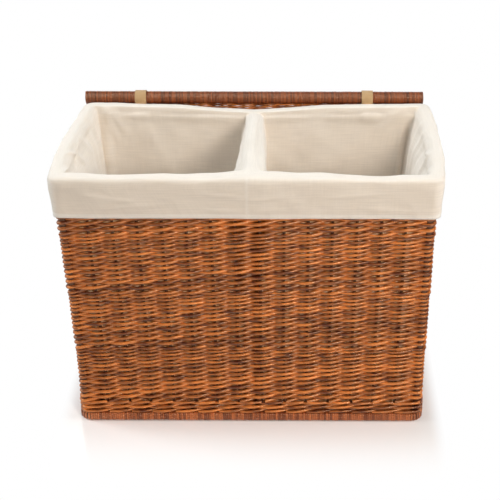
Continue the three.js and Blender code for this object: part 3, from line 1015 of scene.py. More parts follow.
class Side(Enum):
    """The walls of the basket: quarter turns from the front, and stakes passed before it."""

    FRONT = (0, 0)
    RIGHT = (1, 15)
    BACK = (2, 22)
    LEFT = (3, 37)

    @property
    def is_long(self) -> bool:
        """Whether it is the front or the back."""
        return self.value[0] % 2 == 0

    @property
    def spaces(self) -> int:
        """How many spaces its stakes make."""
        return PLAN.long_spaces if self.is_long else PLAN.short_spaces

    def halves(self, z: float) -> tuple[float, float]:
        """Half of this wall's length, and how far out it stands, at a height."""
        sizes = (PLAN.half_x(z), PLAN.half_y(z))
        return sizes if self.is_long else sizes[::-1]

    def corners(self) -> dict[str, float]:
        """Half sizes of this wall at the floor and at the rim, as inputs of the weave.

        Returns:
            The inputs by name.
        """
        values = {"High": PLAN.rim_z, "Inset": PLAN.post_inset, "Turn": self.value[0] * math.pi / 2}
        for word, z in (("Low", 0.0), ("High", PLAN.rim_z)):
            values[f"Run {word}"], values[f"Out {word}"] = self.halves(z)
        return {**values, "Bend": math.pi / 4}


@dataclass
class Basket:
    """The walls, floor, rails and uprights of the basket."""

    finishes: Finishes
    randing: Randing
    winding: Winding
    butt: float = 3.1 * MM
    tip: float = 2.1 * MM
    strokes: float = 26.0
    set_height: float = 106 * MM
    waling_foot: float = 17.5 * MM
    waling_height: float = 20 * MM
    waling_rod: float = 2.3 * MM
    stake: float = 2.3 * MM
    post: float = 6.6 * MM
    skein: float = 1.1 * MM
    rod_reach: float = 0.78
    waling_passes: float = 7.0
    waling_reach: float = 1.2
    waling_bias: float = 0.2
    rail_slack: float = 0.6 * MM
    near_round: float = 0.985
    panel_spaces: int = 15
    panel_sets: int = 3
    packing: float = 1.3
    top_gap: float = 2 * MM
    base_rounding: float = 5 * MM
    divider_gap: float = 0.3 * MM
    floor_stake: float = 1.6 * MM
    floor_butt: float = 1.9 * MM
    floor_tip: float = 1.5 * MM
    floor_lift: float = 8 * MM

    def wall(self, side: Side) -> bpy.types.Mesh:
        """The weave of one wall: bands of randing over a band of waling.

        Args:
            side: the wall.

        Returns:
            The mesh, in the straight plan.
        """
        top = PLAN.wall_top_z - self.top_gap
        foot = self.waling_foot + self.waling_height
        sets = (top - foot) / self.set_height
        common = {**side.corners(), "Spaces": side.spaces, "First": side.value[1], "Stake": self.stake}
        rands = self.randing.make(
            self.finishes.rods,
            {
                **common, "Rods": int(sets * self.strokes) + side.spaces + 2,
                "Strokes": self.strokes, "Sets": sets, "Foot": foot, "Set Height": self.set_height,
                "Butt": self.butt, "Tip": self.tip, "Reach": self.rod_reach,
            },
        )
        wale = self.randing.make(
            self.finishes.rods,
            {
                **common, "Rods": int(self.waling_passes) + side.spaces + 1,
                "Strokes": self.waling_passes, "Sets": 1.0, "Foot": self.waling_foot,
                "Set Height": self.waling_height, "Thickening": 0.0,
                "Butt": self.waling_rod, "Tip": self.waling_rod,
                "Period": 3.0, "Offset": 0.5, "Reach": self.waling_reach, "Bias": self.waling_bias,
                "Seed": 5,
            },
        )
        return joined(rands, wale)

    def uprights(self, side: Side) -> bpy.types.Mesh:
        """The stakes of one wall, with the corner posts on the long walls.

        Args:
            side: the wall.

        Returns:
            The mesh, in the straight plan.
        """
        turn = Matrix.Rotation(side.value[0] * math.pi / 2, 4, "Z")
        ends = 1 if side.is_long else 0
        up = (0, 1, 0) if side.is_long else (1, 0, 0)
        meshes = []
        for i in range(1 - ends, side.spaces + ends):
            is_post = i in (0, side.spaces)
            points = []
            for z in np.linspace(PLAN.base_rail_height, PLAN.wall_top_z, 14):
                run, out = side.halves(z)
                along = (2 * i / side.spaces - 1) * (run - PLAN.post_inset)
                points.append(turn @ Vector((along, -(out - (PLAN.post_inset if is_post else 0)), z)))
            section = circle(self.post if is_post else self.stake, 10)
            meshes.append(swept(np.array(points), section, up, self.finishes.sticks, False))
        return joined(*meshes)

    def wound_rail(
        self, path: list, closed: bool, width: float, height: float, rounding: float,
        finish: bpy.types.Material, up: tuple[float, float, float] = (0, 0, 1), pitch: float = 3.6 * MM,
    ) -> bpy.types.Mesh:
        """A rail with skein wound round it.

        Args:
            path: points of its middle line.
            closed: whether the path is a ring.
            width: outside size across up.
            height: outside size along up.
            rounding: radius of the section's corners.
            finish: material of the skein.
            up: the section's upward direction.
            pitch: how far apart the turns are.

        Returns:
            The rail's mesh with its winding.
        """
        turns = self.winding.make(
            finish,
            {
                "Width": width, "Height": height, "Rounding": rounding, "Pitch": pitch,
                "Skein": self.skein, "Up X": up[0], "Up Y": up[1], "Up Z": up[2],
            },
            path_mesh(path, closed),
        )
        under = 1.5 * self.skein
        half_w, half_h = width / 2 - under, height / 2 - under
        corner = min(rounding - under, half_w * 0.99, half_h * 0.99)
        section = np.array([p[:2] for p in rounded_loop(half_w, half_h, corner, 0, 3, 1)])
        return joined(turns, swept(np.array(path), section, up, self.finishes.sticks, closed))

    def round_rail(self, path: list, radius: float, **options: object) -> bpy.types.Mesh:
        """A round rail of the lid, wound from end to end in dark skein."""
        size, rounding = 2 * radius, radius * self.near_round
        return self.wound_rail(path, False, size, size, rounding, self.finishes.dark_skein, **options)

    def bar(self, path: Sequence[Sequence[float]], closed: bool) -> bpy.types.Mesh:
        """A round rail under the liner."""
        section = circle(PLAN.rim_rail - self.rail_slack)
        return settled(swept(np.array(path), section, (0, 0, 1), self.finishes.skein, closed))

    def build(self) -> None:
        """Builds and dresses every piece of the basket."""
        for side in Side:
            word = side.name.lower()
            weave = settled(self.wall(side))
            add_piece(f"{word}_weave", weave, "basket", [f"{word}_wall"])
            nodes = [f"{word}_stake_{i:02d}" for i in range(1, side.spaces)]
            if side.is_long:
                nodes += [f"corner_post_{word}_{hand}" for hand in ("left", "right")]
            add_piece(f"{word}_stakes", settled(self.uprights(side)), "basket", nodes)
        width, height = PLAN.base_rail_width, PLAN.base_rail_height
        base = rounded_loop(PLAN.half_x(0), PLAN.half_y(0), PLAN.corner, height / 2)
        rail = self.wound_rail(base, True, width, height, self.base_rounding, self.finishes.skein)
        add_piece("base_rail", shifted(rail), "basket", ["base_frame"])
        rim = rounded_loop(PLAN.rim_half_x, PLAN.rim_half_y, PLAN.corner, PLAN.rim_z)
        add_piece("rim_rail", self.bar(rim, True), "basket", ["rim_frame"])
        add_piece("base_weave", shifted(self.floor()), "basket", ["base_panel"])
        half = PLAN.rim_half_y - PLAN.rim_rail - self.divider_gap
        middle = [(0, y, PLAN.rim_z) for y in np.linspace(-half, half, 24)]
        add_piece("divider_bar", self.bar(middle, False), "basket", ["divider_rail"])
        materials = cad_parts["divider_panel"].data.materials
        materials.clear()
        materials.append(self.finishes.rods)

    def flat_weave(
        self, half_run: float, low: float, high: float, stake: float, butt: float, tip: float
    ) -> bpy.types.Mesh:
        """A flat panel of weave with its stakes, standing in the plane y = 0.

        Args:
            half_run: half its size along X.
            low: height of its lower edge.
            high: height of its upper edge.
            stake: radius of its stakes.
            butt: radius of its rods where they start.
            tip: radius of its rods where they end.

        Returns:
            The panel's mesh.
        """
        spaces, sets = self.panel_spaces, self.panel_sets
        strokes = (high - low) / sets / (self.packing * (butt + tip) / 2)
        rands = self.randing.make(
            self.finishes.rods,
            {
                "Run Low": half_run, "Run High": half_run, "Out Low": 0.0, "Out High": 0.0,
                "High": 1.0, "Wrap": 0.001, "Spaces": spaces,
                "Rods": int(sets * strokes) + spaces + 1, "Strokes": strokes, "Sets": float(sets),
                "Foot": low, "Set Height": (high - low) / sets, "Butt": butt, "Tip": tip, "Stake": stake,
                "Seed": 11,
            },
        )
        sticks = []
        for i in range(1, spaces):
            x = (2 * i / spaces - 1) * half_run
            line = np.array([(x, 0, z) for z in np.linspace(low, high, 6)])
            sticks.append(swept(line, circle(stake, 8), (0, 1, 0), self.finishes.sticks, False))
        return joined(rands, *sticks)

    def floor(self) -> bpy.types.Mesh:
        """The woven floor, which lies in the base rail.

        Returns:
            The mesh, in the straight plan.
        """
        half_x = PLAN.half_x(0) - PLAN.base_rail_width / 2
        half_y = PLAN.half_y(0) - PLAN.base_rail_width / 2
        panel = self.flat_weave(half_x, -half_y, half_y, self.floor_stake, self.floor_butt, self.floor_tip)
        lift = Matrix.Translation((0, 0, self.floor_lift))
        panel.transform(lift @ Matrix.Rotation(math.pi / 2, 4, "X"))
        return panel


@dataclass
class Lid:
    """The lid: a wound hinge rail, a wound frame on the other three sides, and a woven panel."""

    finishes: Finishes
    basket: Basket
    stake: float = 2.2 * MM
    butt: float = 2.2 * MM
    tip: float = 1.6 * MM
    rail_pitch: float = 2.5 * MM
    end_depth: float = 1.5 * MM
    end_inset: float = 1.4 * MM
    top_gap: float = 0.3 * MM
    side_tuck: float = 2 * MM
    foot_tuck: float = 1 * MM
    panel_top: float = -9.5 * MM

    def place(self, mesh: bpy.types.Mesh) -> bpy.types.Mesh:
        """A mesh about the hinge line, moved to the hinge."""
        mesh.transform(Matrix.Translation((0, PLAN.hinge_y + PLAN.shift_y, PLAN.hinge_z)))
        return mesh

    def hinge_rail(self) -> bpy.types.Mesh:
        """The back rail, wound from end to end, with rounded ends.

        Returns:
            The mesh, about the hinge line.
        """
        half = PLAN.lid_half - self.end_depth
        path = [(x, 0, 0) for x in np.linspace(-half, half, 40)]
        rail = self.basket.round_rail(path, PLAN.hinge_rail, pitch=self.rail_pitch)
        return joined(rail, self.end_cap(half, -1), self.end_cap(half, 1))

    def end_cap(self, start: float, sign: int) -> bpy.types.Mesh:
        """A rounded end of the hinge rail.

        Args:
            start: how far from the middle the winding ends.
            sign: -1 for the left end, 1 for the right one.

        Returns:
            The cap's mesh.
        """
        sides = 16
        radius = PLAN.hinge_rail - self.end_inset
        rings = [(-self.end_depth, 1.0), (0.0, 1.0), (1.0 * MM, 0.86), (self.end_depth, 0.5)]
        points = [(sign * (start + x), *p) for x, share in rings for p in circle(share * radius, sides)]
        faces = []
        for low in range(0, (len(rings) - 1) * sides, sides):
            for j in range(sides):
                k = (j + 1) % sides
                faces.append((low + j, low + k, low + sides + k, low + sides + j)[::sign])
        outer = range((len(rings) - 1) * sides, len(rings) * sides)
        faces += [tuple(outer)[::sign], tuple(range(sides))[::-sign]]
        cap = mesh_of("cap", points, faces)
        cap.materials.append(self.finishes.sticks)
        return cap

    def frame_rail(self) -> bpy.types.Mesh:
        """The rail round the other three sides.

        Returns:
            The mesh, about the hinge line.
        """
        half = PLAN.lid_half - PLAN.lid_frame
        foot = -(PLAN.lid_reach - PLAN.lid_frame)
        top = -PLAN.hinge_rail - self.top_gap
        r = PLAN.lid_corner
        left = [(-half, 0, z) for z in np.linspace(top, foot + r, 20)]
        left += [
            (-half + r - r * math.cos(a), 0, foot + r - r * math.sin(a))
            for a in np.linspace(0, math.pi / 2, 9)[1:]
        ]
        across = [(x, 0, foot) for x in np.linspace(-half + r, half - r, 30)[1:-1]]
        right = [(-x, y, z) for x, y, z in left[::-1]]
        return self.basket.round_rail(left + across + right, PLAN.lid_frame, up=(0, 1, 0))

    def panel(self) -> bpy.types.Mesh:
        """The woven panel.

        Returns:
            The mesh, about the hinge line.
        """
        half = PLAN.lid_half - 2 * PLAN.lid_frame + self.side_tuck
        low = -(PLAN.lid_reach - 2 * PLAN.lid_frame + self.foot_tuck)
        return self.basket.flat_weave(half, low, self.panel_top, self.stake, self.butt, self.tip)

    def build(self) -> None:
        """Builds and dresses the lid's pieces."""
        add_piece("hinge_rail", self.place(self.hinge_rail()), "lid", ["lid_hinge_rail"])
        add_piece("lid_rail", self.place(self.frame_rail()), "lid", ["lid_frame"])
        add_piece("lid_weave", self.place(self.panel()), "lid", ["lid_panel"])


@dataclass
class Straps:
    """The two webbing straps that hold the lid to the rim."""

    finishes: Finishes
    thickness: float = 1.3 * MM
    slack: float = 0.3 * MM
    neck_gap: float = 0.1 * MM
    neck_spread: float = 1.2 * MM
    neck_reach: float = 2.2 * MM
    neck_turn: float = 0.25
    edge: float = 0.5 * MM
    last_step: float = 3 * MM

    def path(self) -> np.ndarray:
        """The middle of the webbing as (y, z) pairs, round the rim rail and the hinge rail.

        Returns:
            The pairs, as a closed loop.
        """
        rim = np.array([PLAN.rim_half_y, PLAN.rim_z])
        hinge = np.array([PLAN.hinge_y, PLAN.hinge_z])
        ahead = (hinge - rim) / np.linalg.norm(hinge - rim)
        aside = np.array([-ahead[1], ahead[0]])
        half = self.thickness / 2 + self.neck_gap
        points = []
        for centre, rail, sign in ((rim, PLAN.rim_rail, -1), (hinge, PLAN.hinge_rail, 1)):
            radius = rail + self.slack + self.thickness / 2
            opening = math.asin(min(1, (half + self.neck_spread) / radius)) + self.neck_turn
            for t in np.linspace(opening, 2 * math.pi - opening, 40):
                points.append(centre + radius * (math.cos(t) * -sign * ahead + math.sin(t) * -sign * aside))
            neck = centre - sign * (radius + self.neck_reach) * ahead
            points.append(neck + aside * half * sign)
        return np.array(points)

    def strap(self, x: float) -> bpy.types.Mesh:
        """One strap: a closed band with rounded edges.

        Args:
            x: the place of its middle.

        Returns:
            The mesh, in the straight plan.
        """
        line = self.path()
        half, thick = PLAN.strap_width / 2, self.thickness / 2
        shoulder = thick * 0.4
        upper = [(half, shoulder), (half - self.edge, thick), (self.edge - half, thick), (-half, shoulder)]
        section = upper + [(s, -n) for s, n in upper[::-1]]
        ahead = np.roll(line, -1, axis=0) - np.roll(line, 1, axis=0)
        ahead /= np.linalg.norm(ahead, axis=1)[:, None]
        normal = np.stack([-ahead[:, 1], ahead[:, 0]], axis=1)
        count, sides = len(line), len(section)
        run = run_along(line)
        points = [(x + s, *(line[i] + normal[i] * n)) for i in range(count) for s, n in section]
        faces, uvs = [], []
        for i in range(count):
            b = (i + 1) % count
            here = run[i]
            step = here + (self.last_step if i == count - 1 else run[b] - here)
            for j in range(sides):
                k = (j + 1) % sides
                faces.append((i * sides + j, i * sides + k, b * sides + k, b * sides + j))
                near, far = section[j][0], section[k][0]
                uvs += [(near, here), (far, here), (far, step), (near, step)]
        mesh = mesh_of("strap", points, faces)
        mesh.uv_layers.new(name="weave").data.foreach_set("uv", np.array(uvs).ravel())
        return dressed(mesh, self.finishes.webbing)

    def build(self) -> None:
        """Builds and dresses both straps."""
        for sign, word in ((-1, "left"), (1, "right")):
            mesh = shifted(self.strap(sign * PLAN.strap_x))
            add_piece(f"{word}_strap", mesh, "basket", [f"hinge_strap_{word}"])


class Wall(Enum):
    """Where a crease can lie: the walls of a bag in the order of its loops, and the outer band."""

    FRONT = "front"
    OUTER = "outer"
    BACK = "back"
    DIVIDER = "divider"
    BAND = "band"


@dataclass(frozen=True)
class Crease:
    """A crease pressed into a bag, in millimetres.

    It runs from one place to another. A place is how far along its wall, which is x on the
    front and back and y elsewhere, and how far up, which is the height up to the rim and the
    way over the cloth's roll from there. The cloth stands out into the bin by depth, and falls
    away within before on the side towards lower places and within after on the other side.
    """

    wall: Wall
    start: tuple[float, float]
    end: tuple[float, float]
    depth: float
    before: float
    after: float

    def push(self, along: np.ndarray, up: float) -> np.ndarray:
        """How far the cloth stands into the bin.

        Args:
            along: places along the wall, in metres.
            up: how far up the wall, in metres.

        Returns:
            The distances, in metres.
        """
        first, last = np.array(self.start) * MM, np.array(self.end) * MM
        way = last - first
        length = float(np.linalg.norm(way))
        way /= length
        run = (along - first[0]) * way[0] + (up - first[1]) * way[1]
        rise = math.copysign(1, way[1])
        aside = (along - first[0]) * abs(way[1]) - (up - first[1]) * way[0] * rise
        width = np.where(aside < 0, self.before, self.after) * MM
        ends = np.minimum(run, length - run) / (0.3 * length)
        taper = smooth(-0.35, 0.9, ends)
        return self.depth * MM * np.exp(-((aside / width) ** 2)) * taper


# Places on the front rail and how much further in the cloth reaches there, both in millimetres
FRONT_ROLL_PLACES = (-290, -233, -195, -150, -107, -52, 0, 40, 81, 121, 160, 215, 260, 290)
FRONT_ROLL_REACHES = (0, -1, -3, 0, 2.5, 6.4, 14, 13, 9, 3, -1, -4, -2, 0)

DIVIDER_CREASES = (
    Crease(Wall.DIVIDER, (-90, 330), (-20, 440), 3.0, 16, 9),
    Crease(Wall.DIVIDER, (60, 300), (110, 430), 2.5, 14, 8),
)

LEFT_CREASES = (
    # the pleat beside the rear corner
    Crease(Wall.BACK, (-250, 150), (-264, 470), 4.0, 16, 4.5),
    # the cloth drawn out of the corner
    Crease(Wall.BACK, (-228, 405), (-266, 458), 3.0, 4, 9),
    Crease(Wall.BACK, (-246, 395), (-272, 462), 3.0, 3, 6),
    Crease(Wall.BACK, (-130, 300), (-205, 440), 2.2, 30, 12),
    Crease(Wall.BACK, (-92, 452), (-215, 444), 0.9, 10, 4),
    Crease(Wall.OUTER, (100, 462), (128, 340), 4.0, 4, 12),
    Crease(Wall.OUTER, (60, 462), (96, 350), -3.0, 12, 8),
    Crease(Wall.OUTER, (20, 452), (70, 400), 3.0, 7, 4),
    # the tuft in the middle of the side
    Crease(Wall.OUTER, (-62, 462), (-28, 438), 5.0, 5, 3),
    Crease(Wall.OUTER, (-28, 438), (0, 412), 4.5, 3, 6),
    Crease(Wall.OUTER, (-52, 428), (-22, 440), -4.5, 4, 5),
    Crease(Wall.OUTER, (-22, 440), (8, 452), 2.5, 3, 6),
    # the gather at the front corner
    Crease(Wall.OUTER, (-146, 458), (-108, 447), 4.5, 3, 5),
    Crease(Wall.OUTER, (-142, 448), (-92, 437), -4.0, 6, 4),
    *DIVIDER_CREASES,
    # the folds along the divider's roll
    Crease(Wall.DIVIDER, (-150, 425), (60, 436), 1.8, 3.0, 8.0),
)

BAND_CREASES = (
    Crease(Wall.BAND, (-66, 432), (-4, 427), 1.8, 7.0, 2.0),
    Crease(Wall.BAND, (2, 418), (74, 428), 1.6, 7.0, 2.0),
    Crease(Wall.BAND, (-70, 404), (-2, 402), 1.4, 5.0, 2.0),
    Crease(Wall.BAND, (4, 401), (60, 404), 1.3, 5.0, 2.0),
    Crease(Wall.BAND, (-250, 430), (-170, 418), 1.8, 7.0, 2.5),
    Crease(Wall.BAND, (-225, 405), (-120, 412), 1.5, 6.0, 2.5),
    Crease(Wall.BAND, (120, 424), (215, 432), 1.8, 7.0, 2.5),
    Crease(Wall.BAND, (170, 408), (268, 401), 1.5, 6.0, 2.5),
)

RIGHT_CREASES = (
    # the fold and the deep groove beside the rear corner
    Crease(Wall.BACK, (258, 150), (268, 440), -7.0, 6, 7),
    Crease(Wall.BACK, (246, 150), (262, 465), 3.0, 3, 8),
    Crease(Wall.BACK, (215, 410), (262, 458), 2.5, 9, 4),
    Crease(Wall.BACK, (30, 340), (120, 440), 2.8, 12, 26),
    Crease(Wall.BACK, (60, 300), (190, 400), 2.2, 20, 30),
    Crease(Wall.BACK, (120, 449), (240, 441), 0.9, 4, 10),
    # soft folds down the side
    Crease(Wall.OUTER, (88, 460), (108, 330), 4.0, 12, 4),
    Crease(Wall.OUTER, (42, 465), (74, 340), 3.5, 6, 12),
    Crease(Wall.OUTER, (0, 460), (40, 380), -3.0, 8, 8),
    # the bent fold nearer the front
    Crease(Wall.OUTER, (-60, 456), (-28, 440), 4.0, 3, 6),
    Crease(Wall.OUTER, (-60, 456), (-40, 405), 4.5, 4, 8),
    Crease(Wall.OUTER, (-112, 452), (-58, 420), -3.0, 8, 6),
    Crease(Wall.OUTER, (-140, 456), (-104, 444), 2.5, 4, 6),
    *DIVIDER_CREASES,
    # the folds along the divider's roll
    Crease(Wall.DIVIDER, (-150, 455), (140, 452), -3.5, 2.0, 3.0),
    Crease(Wall.DIVIDER, (-140, 444), (100, 440), 2.0, 3.0, 6.0),
)


class Skin:
    """Points and faces of a cloth while it is put together."""

    def __init__(self) -> None:
        """Starts empty."""
        self.points: list[np.ndarray] = []
        self.faces: list[tuple[int, ...]] = []

    def add(self, point: np.ndarray) -> int:
        """Adds a point and returns its number."""
        self.points.append(point)
        return len(self.points) - 1


@dataclass
class Liner:
    """The cotton liner: two bags, rolls over the rim and the divider, and a band outside.

    The gaps are how far the bags hang inside the walls' middle planes at the gap heights, in
    millimetres. The divider pairs are how far the cloth stands off the divider's middle at the
    back, and how much further at the front, first below the rim and then at it, in millimetres.
    """

    finishes: Finishes
    stitching: Stitching
    along: int = 56
    deep: int = 64
    turn: int = 8
    low_levels: int = 10
    high_levels: int = 36
    roll_levels: int = 10
    reach: float = 14.8 * MM
    cloth: float = 1.1 * MM
    corner_leg: float = 15 * MM
    back_inset: float = 8.5 * MM
    belly: float = 9 * MM
    rail_clearance: float = 11.8 * MM
    strap_lift: float = 1.6 * MM
    dip_half: float = 120 * MM
    seam_half: float = 3 * MM
    band_levels: int = 24
    hem_height: float = 8 * MM
    pressed: float = 0.989
    foot: float = PLAN.floor_z + 1.5 * MM
    spring: float = 250 * MM
    tucks: tuple[float, ...] = (6 * MM, 2 * MM, 0.5 * MM)
    divider_gap: float = 9 * MM
    hem_seam: float = 6.5 * MM
    seam_share: float = 0.6
    gap_heights: tuple[float, ...] = (12, 60, 150, 250, 320, 390, 425, 441)
    side_gaps: tuple[float, ...] = (26, 24, 23, 22, 20, 16, 13, 11.5)
    front_gaps: tuple[float, ...] = (20, 16, 10, 8.2, 7.8, 7.8, 11.2, 14.8)
    back_gaps: tuple[float, ...] = (22, 20, 18, 15, 13, 11, 10, 9.8)
    left_divider: tuple[tuple[float, float], ...] = ((20, 10), (12.5, 0))
    right_divider: tuple[tuple[float, float], ...] = ((19, 8), (17, 9))
    foot_steps: tuple[float, ...] = (0.0, 3 * MM, 9 * MM)
    wall_start: float = 18 * MM
    floor_shares: tuple[float, ...] = (0.02, 0.2, 0.45, 0.7, 0.9)
    soft_height: float = 0.9 * MM
    fine_height: float = 0.6 * MM
    hem_gap: float = 10.4 * MM
    hem_wave: float = 1.1 * MM
    floor_corner: float = 14 * MM
    corner_drop: float = 9 * MM
    crest_corner: float = 4 * MM
    divider_fade: float = 40 * MM
    front_fade: float = 25 * MM
    back_fade: float = 40 * MM
    bow_end: float = 400 * MM
    front_lift: float = 1.2 * MM
    back_lift: float = 3.2 * MM
    back_dip: float = 5.6 * MM
    crest_wave: float = 0.5 * MM
    strap_near: float = 11 * MM
    strap_far: float = 18 * MM
    corner_clear: float = 6 * MM
    even_loop: int = -8
    band_start: float = 1.0

    def stations(
        self, box: tuple[float, float, float, float], outer: float, inner: float, sharp: float
    ) -> np.ndarray:
        """One loop of a bag, for the right bin, counter-clockwise from the divider's front end.

        Args:
            box: the loop's lowest and highest x, then lowest and highest y.
            outer: radius of the corners away from the divider.
            inner: radius of the corners at the divider.
            sharp: 0 for round corners at the divider, 1 for square ones.

        Returns:
            The loop's points in plan.
        """
        x0, x1, y0, y1 = box
        corners = [
            (x1, y0, outer, 0), (x1, y1, outer, 0), (x0, y1, inner, sharp), (x0, y0, inner, sharp)
        ]
        ways = [(1, 0), (0, 1), (-1, 0), (0, -1)]
        loops = []
        for i, (x, y, radius, square) in enumerate(corners):
            point = np.array([x, y])
            back, on = -np.array(ways[i]), np.array(ways[(i + 1) % 4])
            rows = []
            for t in np.linspace(0, 1, self.turn + 1):
                angle = t * math.pi / 2
                arc = radius * (back * (1 - math.sin(angle)) + on * (1 - math.cos(angle)))
                leg = self.corner_leg * (back * max(0, 1 - 2 * t) + on * max(0, 2 * t - 1))
                rows.append(point + arc * (1 - square) + leg * square)
            loops.append(np.array(rows))
        whole = []
        for i, corner in enumerate(loops):
            start, end = loops[i - 1][-1], corner[0]
            count = self.along if i % 2 == 0 else self.deep
            shares = np.arange(1, count + 1)[:, None] / (count + 1)
            whole += [start + (end - start) * shares, corner]
        return np.concatenate(whole)

    def divider_reach(self, y: np.ndarray, share: float, sign: int) -> np.ndarray:
        """How far the cloth stands off the divider's middle, wider towards the front.

        Args:
            y: places along the divider.
            share: how high up the walls, as a share of the rim's height.
            sign: -1 for the left bag, which slopes out below the rim, 1 for the right one.

        Returns:
            The distances.
        """
        front = 1 - smooth(-PLAN.rim_half_y, PLAN.rim_half_y, y)
        sizes = self.left_divider if sign < 0 else self.right_divider
        low, top = (back * MM + more * MM * front for back, more in sizes)
        return low + (top - low) * smooth(0.91, 1.0, share)

    def wall_gaps(self, z: float) -> tuple[float, float, float]:
        """How far the bag hangs inside the walls' middle planes at a height.

        Args:
            z: the height.

        Returns:
            The gaps at the side wall, the front and the back.
        """
        heights = np.array(self.gap_heights) * MM
        rows = (self.side_gaps, self.front_gaps, self.back_gaps)
        return tuple(float(np.interp(z, heights, np.array(gaps) * MM)) for gaps in rows)

    def front_reach(self, x: np.ndarray) -> np.ndarray:
        """How much further in than elsewhere the cloth on the front rail reaches."""
        return np.interp(x, np.array(FRONT_ROLL_PLACES) * MM, np.array(FRONT_ROLL_REACHES) * MM)

    def bag_levels(self, sign: int) -> tuple[list[np.ndarray], list[float]]:
        """A bag as loops of points, from the middle of its floor up to the rolls' crests.

        Args:
            sign: -1 for the left bag, 1 for the right one. Both are laid out as the right one.

        Returns:
            The loops, and how far up the cloth each one is.
        """
        heights = np.concatenate(
            [
                [self.foot + step for step in self.foot_steps],
                np.linspace(self.foot + self.wall_start, self.spring, self.low_levels, endpoint=False),
                np.linspace(self.spring, PLAN.rim_z, self.high_levels),
            ]
        )
        tucks = self.tucks + (0.0,) * (len(heights) - len(self.tucks))
        levels = [self.wall_loop(z, tuck, sign) for z, tuck in zip(heights.tolist(), tucks)]
        floor_middle = levels[0][:, :2].mean(axis=0)
        rings = []
        for share in self.floor_shares:
            ring = levels[0].copy()
            ring[:, :2] = floor_middle + (ring[:, :2] - floor_middle) * share
            rings.append(ring)
        rolls, roll_ups = self.roll_loops(levels[-1], sign)
        return rings + levels + rolls, [0.0] * len(rings) + heights.tolist() + roll_ups

    def wall_loop(self, z: float, tuck: float, sign: int) -> np.ndarray:
        """A loop of a bag below the rim.

        Args:
            z: its height.
            tuck: how much further in it lies than the gaps say, near the floor.
            sign: -1 for the left bag, 1 for the right one.

        Returns:
            The loop's points.
        """
        side, front, back = (gap + tuck for gap in self.wall_gaps(z))
        share = z / PLAN.rim_z
        divider = self.divider_gap
        box = (divider, PLAN.half_x(z) - side, front - PLAN.half_y(z), PLAN.half_y(z) - back)
        radius = self.floor_corner - self.corner_drop * share
        plan = self.stations(box, radius, radius, 0.0)
        extra = (self.divider_reach(plan[:, 1], share, sign) - divider) * smooth(0.4, 0.85, share)
        plan[:, 0] += extra * np.clip(1 - (plan[:, 0] - divider) / self.divider_fade, 0, 1)
        bowed = 1 - np.clip(plan[:, 1] / PLAN.rim_half_y, -1, 1) ** 2
        bowed *= smooth(PLAN.rim_z, self.bow_end, z)
        plan[:, 0] -= self.belly * bowed * smooth(0.5, 1.0, plan[:, 0] / box[1])
        close = np.clip(1 - (plan[:, 1] - box[2]) / self.front_fade, 0, 1)
        plan[:, 1] += close * smooth(0.9, 1.0, share) * self.front_reach(sign * plan[:, 0])
        return np.column_stack([plan, np.full(len(plan), z)])

    def roll_loops(self, edge: np.ndarray, sign: int) -> tuple[list[np.ndarray], list[float]]:
        """The inner side of the rolls, from the top of a bag's walls to the crests.

        Args:
            edge: the bag's highest loop.
            sign: -1 for the left bag, 1 for the right one.

        Returns:
            The loops, and how far up the cloth each one is.
        """
        crest_plan = self.stations(self.crest_box, self.crest_corner, self.crest_corner, 1.0)
        crest_z = self.crest_height(crest_plan, sign)
        softness = self.section_softness(crest_plan, sign)
        levels, ups = [], []
        for angle in np.linspace(0, math.pi / 2, self.roll_levels + 1)[1:]:
            share = 1 - max(math.cos(angle), 0) ** softness
            plan = edge[:, :2] + (crest_plan - edge[:, :2]) * share[:, None]
            z = PLAN.rim_z + (crest_z - PLAN.rim_z) * math.sin(angle) ** softness
            levels.append(np.column_stack([plan, z]))
            ups.append(PLAN.rim_z + self.reach * 1.5 * angle / (math.pi / 2))
        return levels, ups

    @property
    def crest_box(self) -> tuple[float, float, float, float]:
        """The plan of a bag's crest: over the rails, but inside the rear one."""
        return (0.0, PLAN.rim_half_x, -PLAN.rim_half_y, PLAN.rim_half_y - self.back_inset)

    def section_softness(self, plan: np.ndarray, sign: int) -> np.ndarray:
        """How soft the rolls' inner sections are: below 1 they are square, above 1 they slope.

        Args:
            plan: points of the crests in plan.
            sign: -1 for the left bag, 1 for the right one.

        Returns:
            The softness at each point.
        """
        x, y = plan.T
        back = smooth(0.75, 0.93, y / PLAN.rim_half_y)
        front = smooth(0.8, 1.0, -y / PLAN.rim_half_y)
        divider = 1 - smooth(10 * MM, 50 * MM, x)
        side = (1 - divider) * (1 - front) * (1 - back)
        uneven = 0.12 * np.sin(38 * y + 2 * sign) * side + 0.1 * np.sin(27 * sign * x + 0.6) * front
        slope = (0.6 if sign < 0 else 0.1) * divider * (1 - back) * (1 - front)
        return 0.72 + 0.2 * back - 0.22 * front + slope + 0.3 * side + uneven

    def crest_height(self, plan: np.ndarray, sign: int) -> np.ndarray:
        """How high the cloth stands at points of the rolls' crests.

        Args:
            plan: points of the crests in plan.
            sign: -1 for the left bag, 1 for the right one.

        Returns:
            The height at each point.
        """
        x, y = plan.T
        middle = np.clip(1 - np.abs(x) / (0.8 * PLAN.rim_half_x), 0, 1)
        back = smooth(0.5, 0.93, y / PLAN.rim_half_y)
        front = smooth(0.5, 1.0, -y / PLAN.rim_half_y)
        dip = np.clip(1 - np.abs(x) / self.dip_half, 0, 1) ** 0.8
        lift = self.front_lift * middle * front + back * (self.back_lift - self.back_dip * dip)
        uneven = self.crest_wave * np.sin(31 * sign * x + 0.9) * np.sin(13 * sign * x + 2.2)
        return PLAN.rim_z + self.reach + lift + uneven * (front + 1.4 * back)

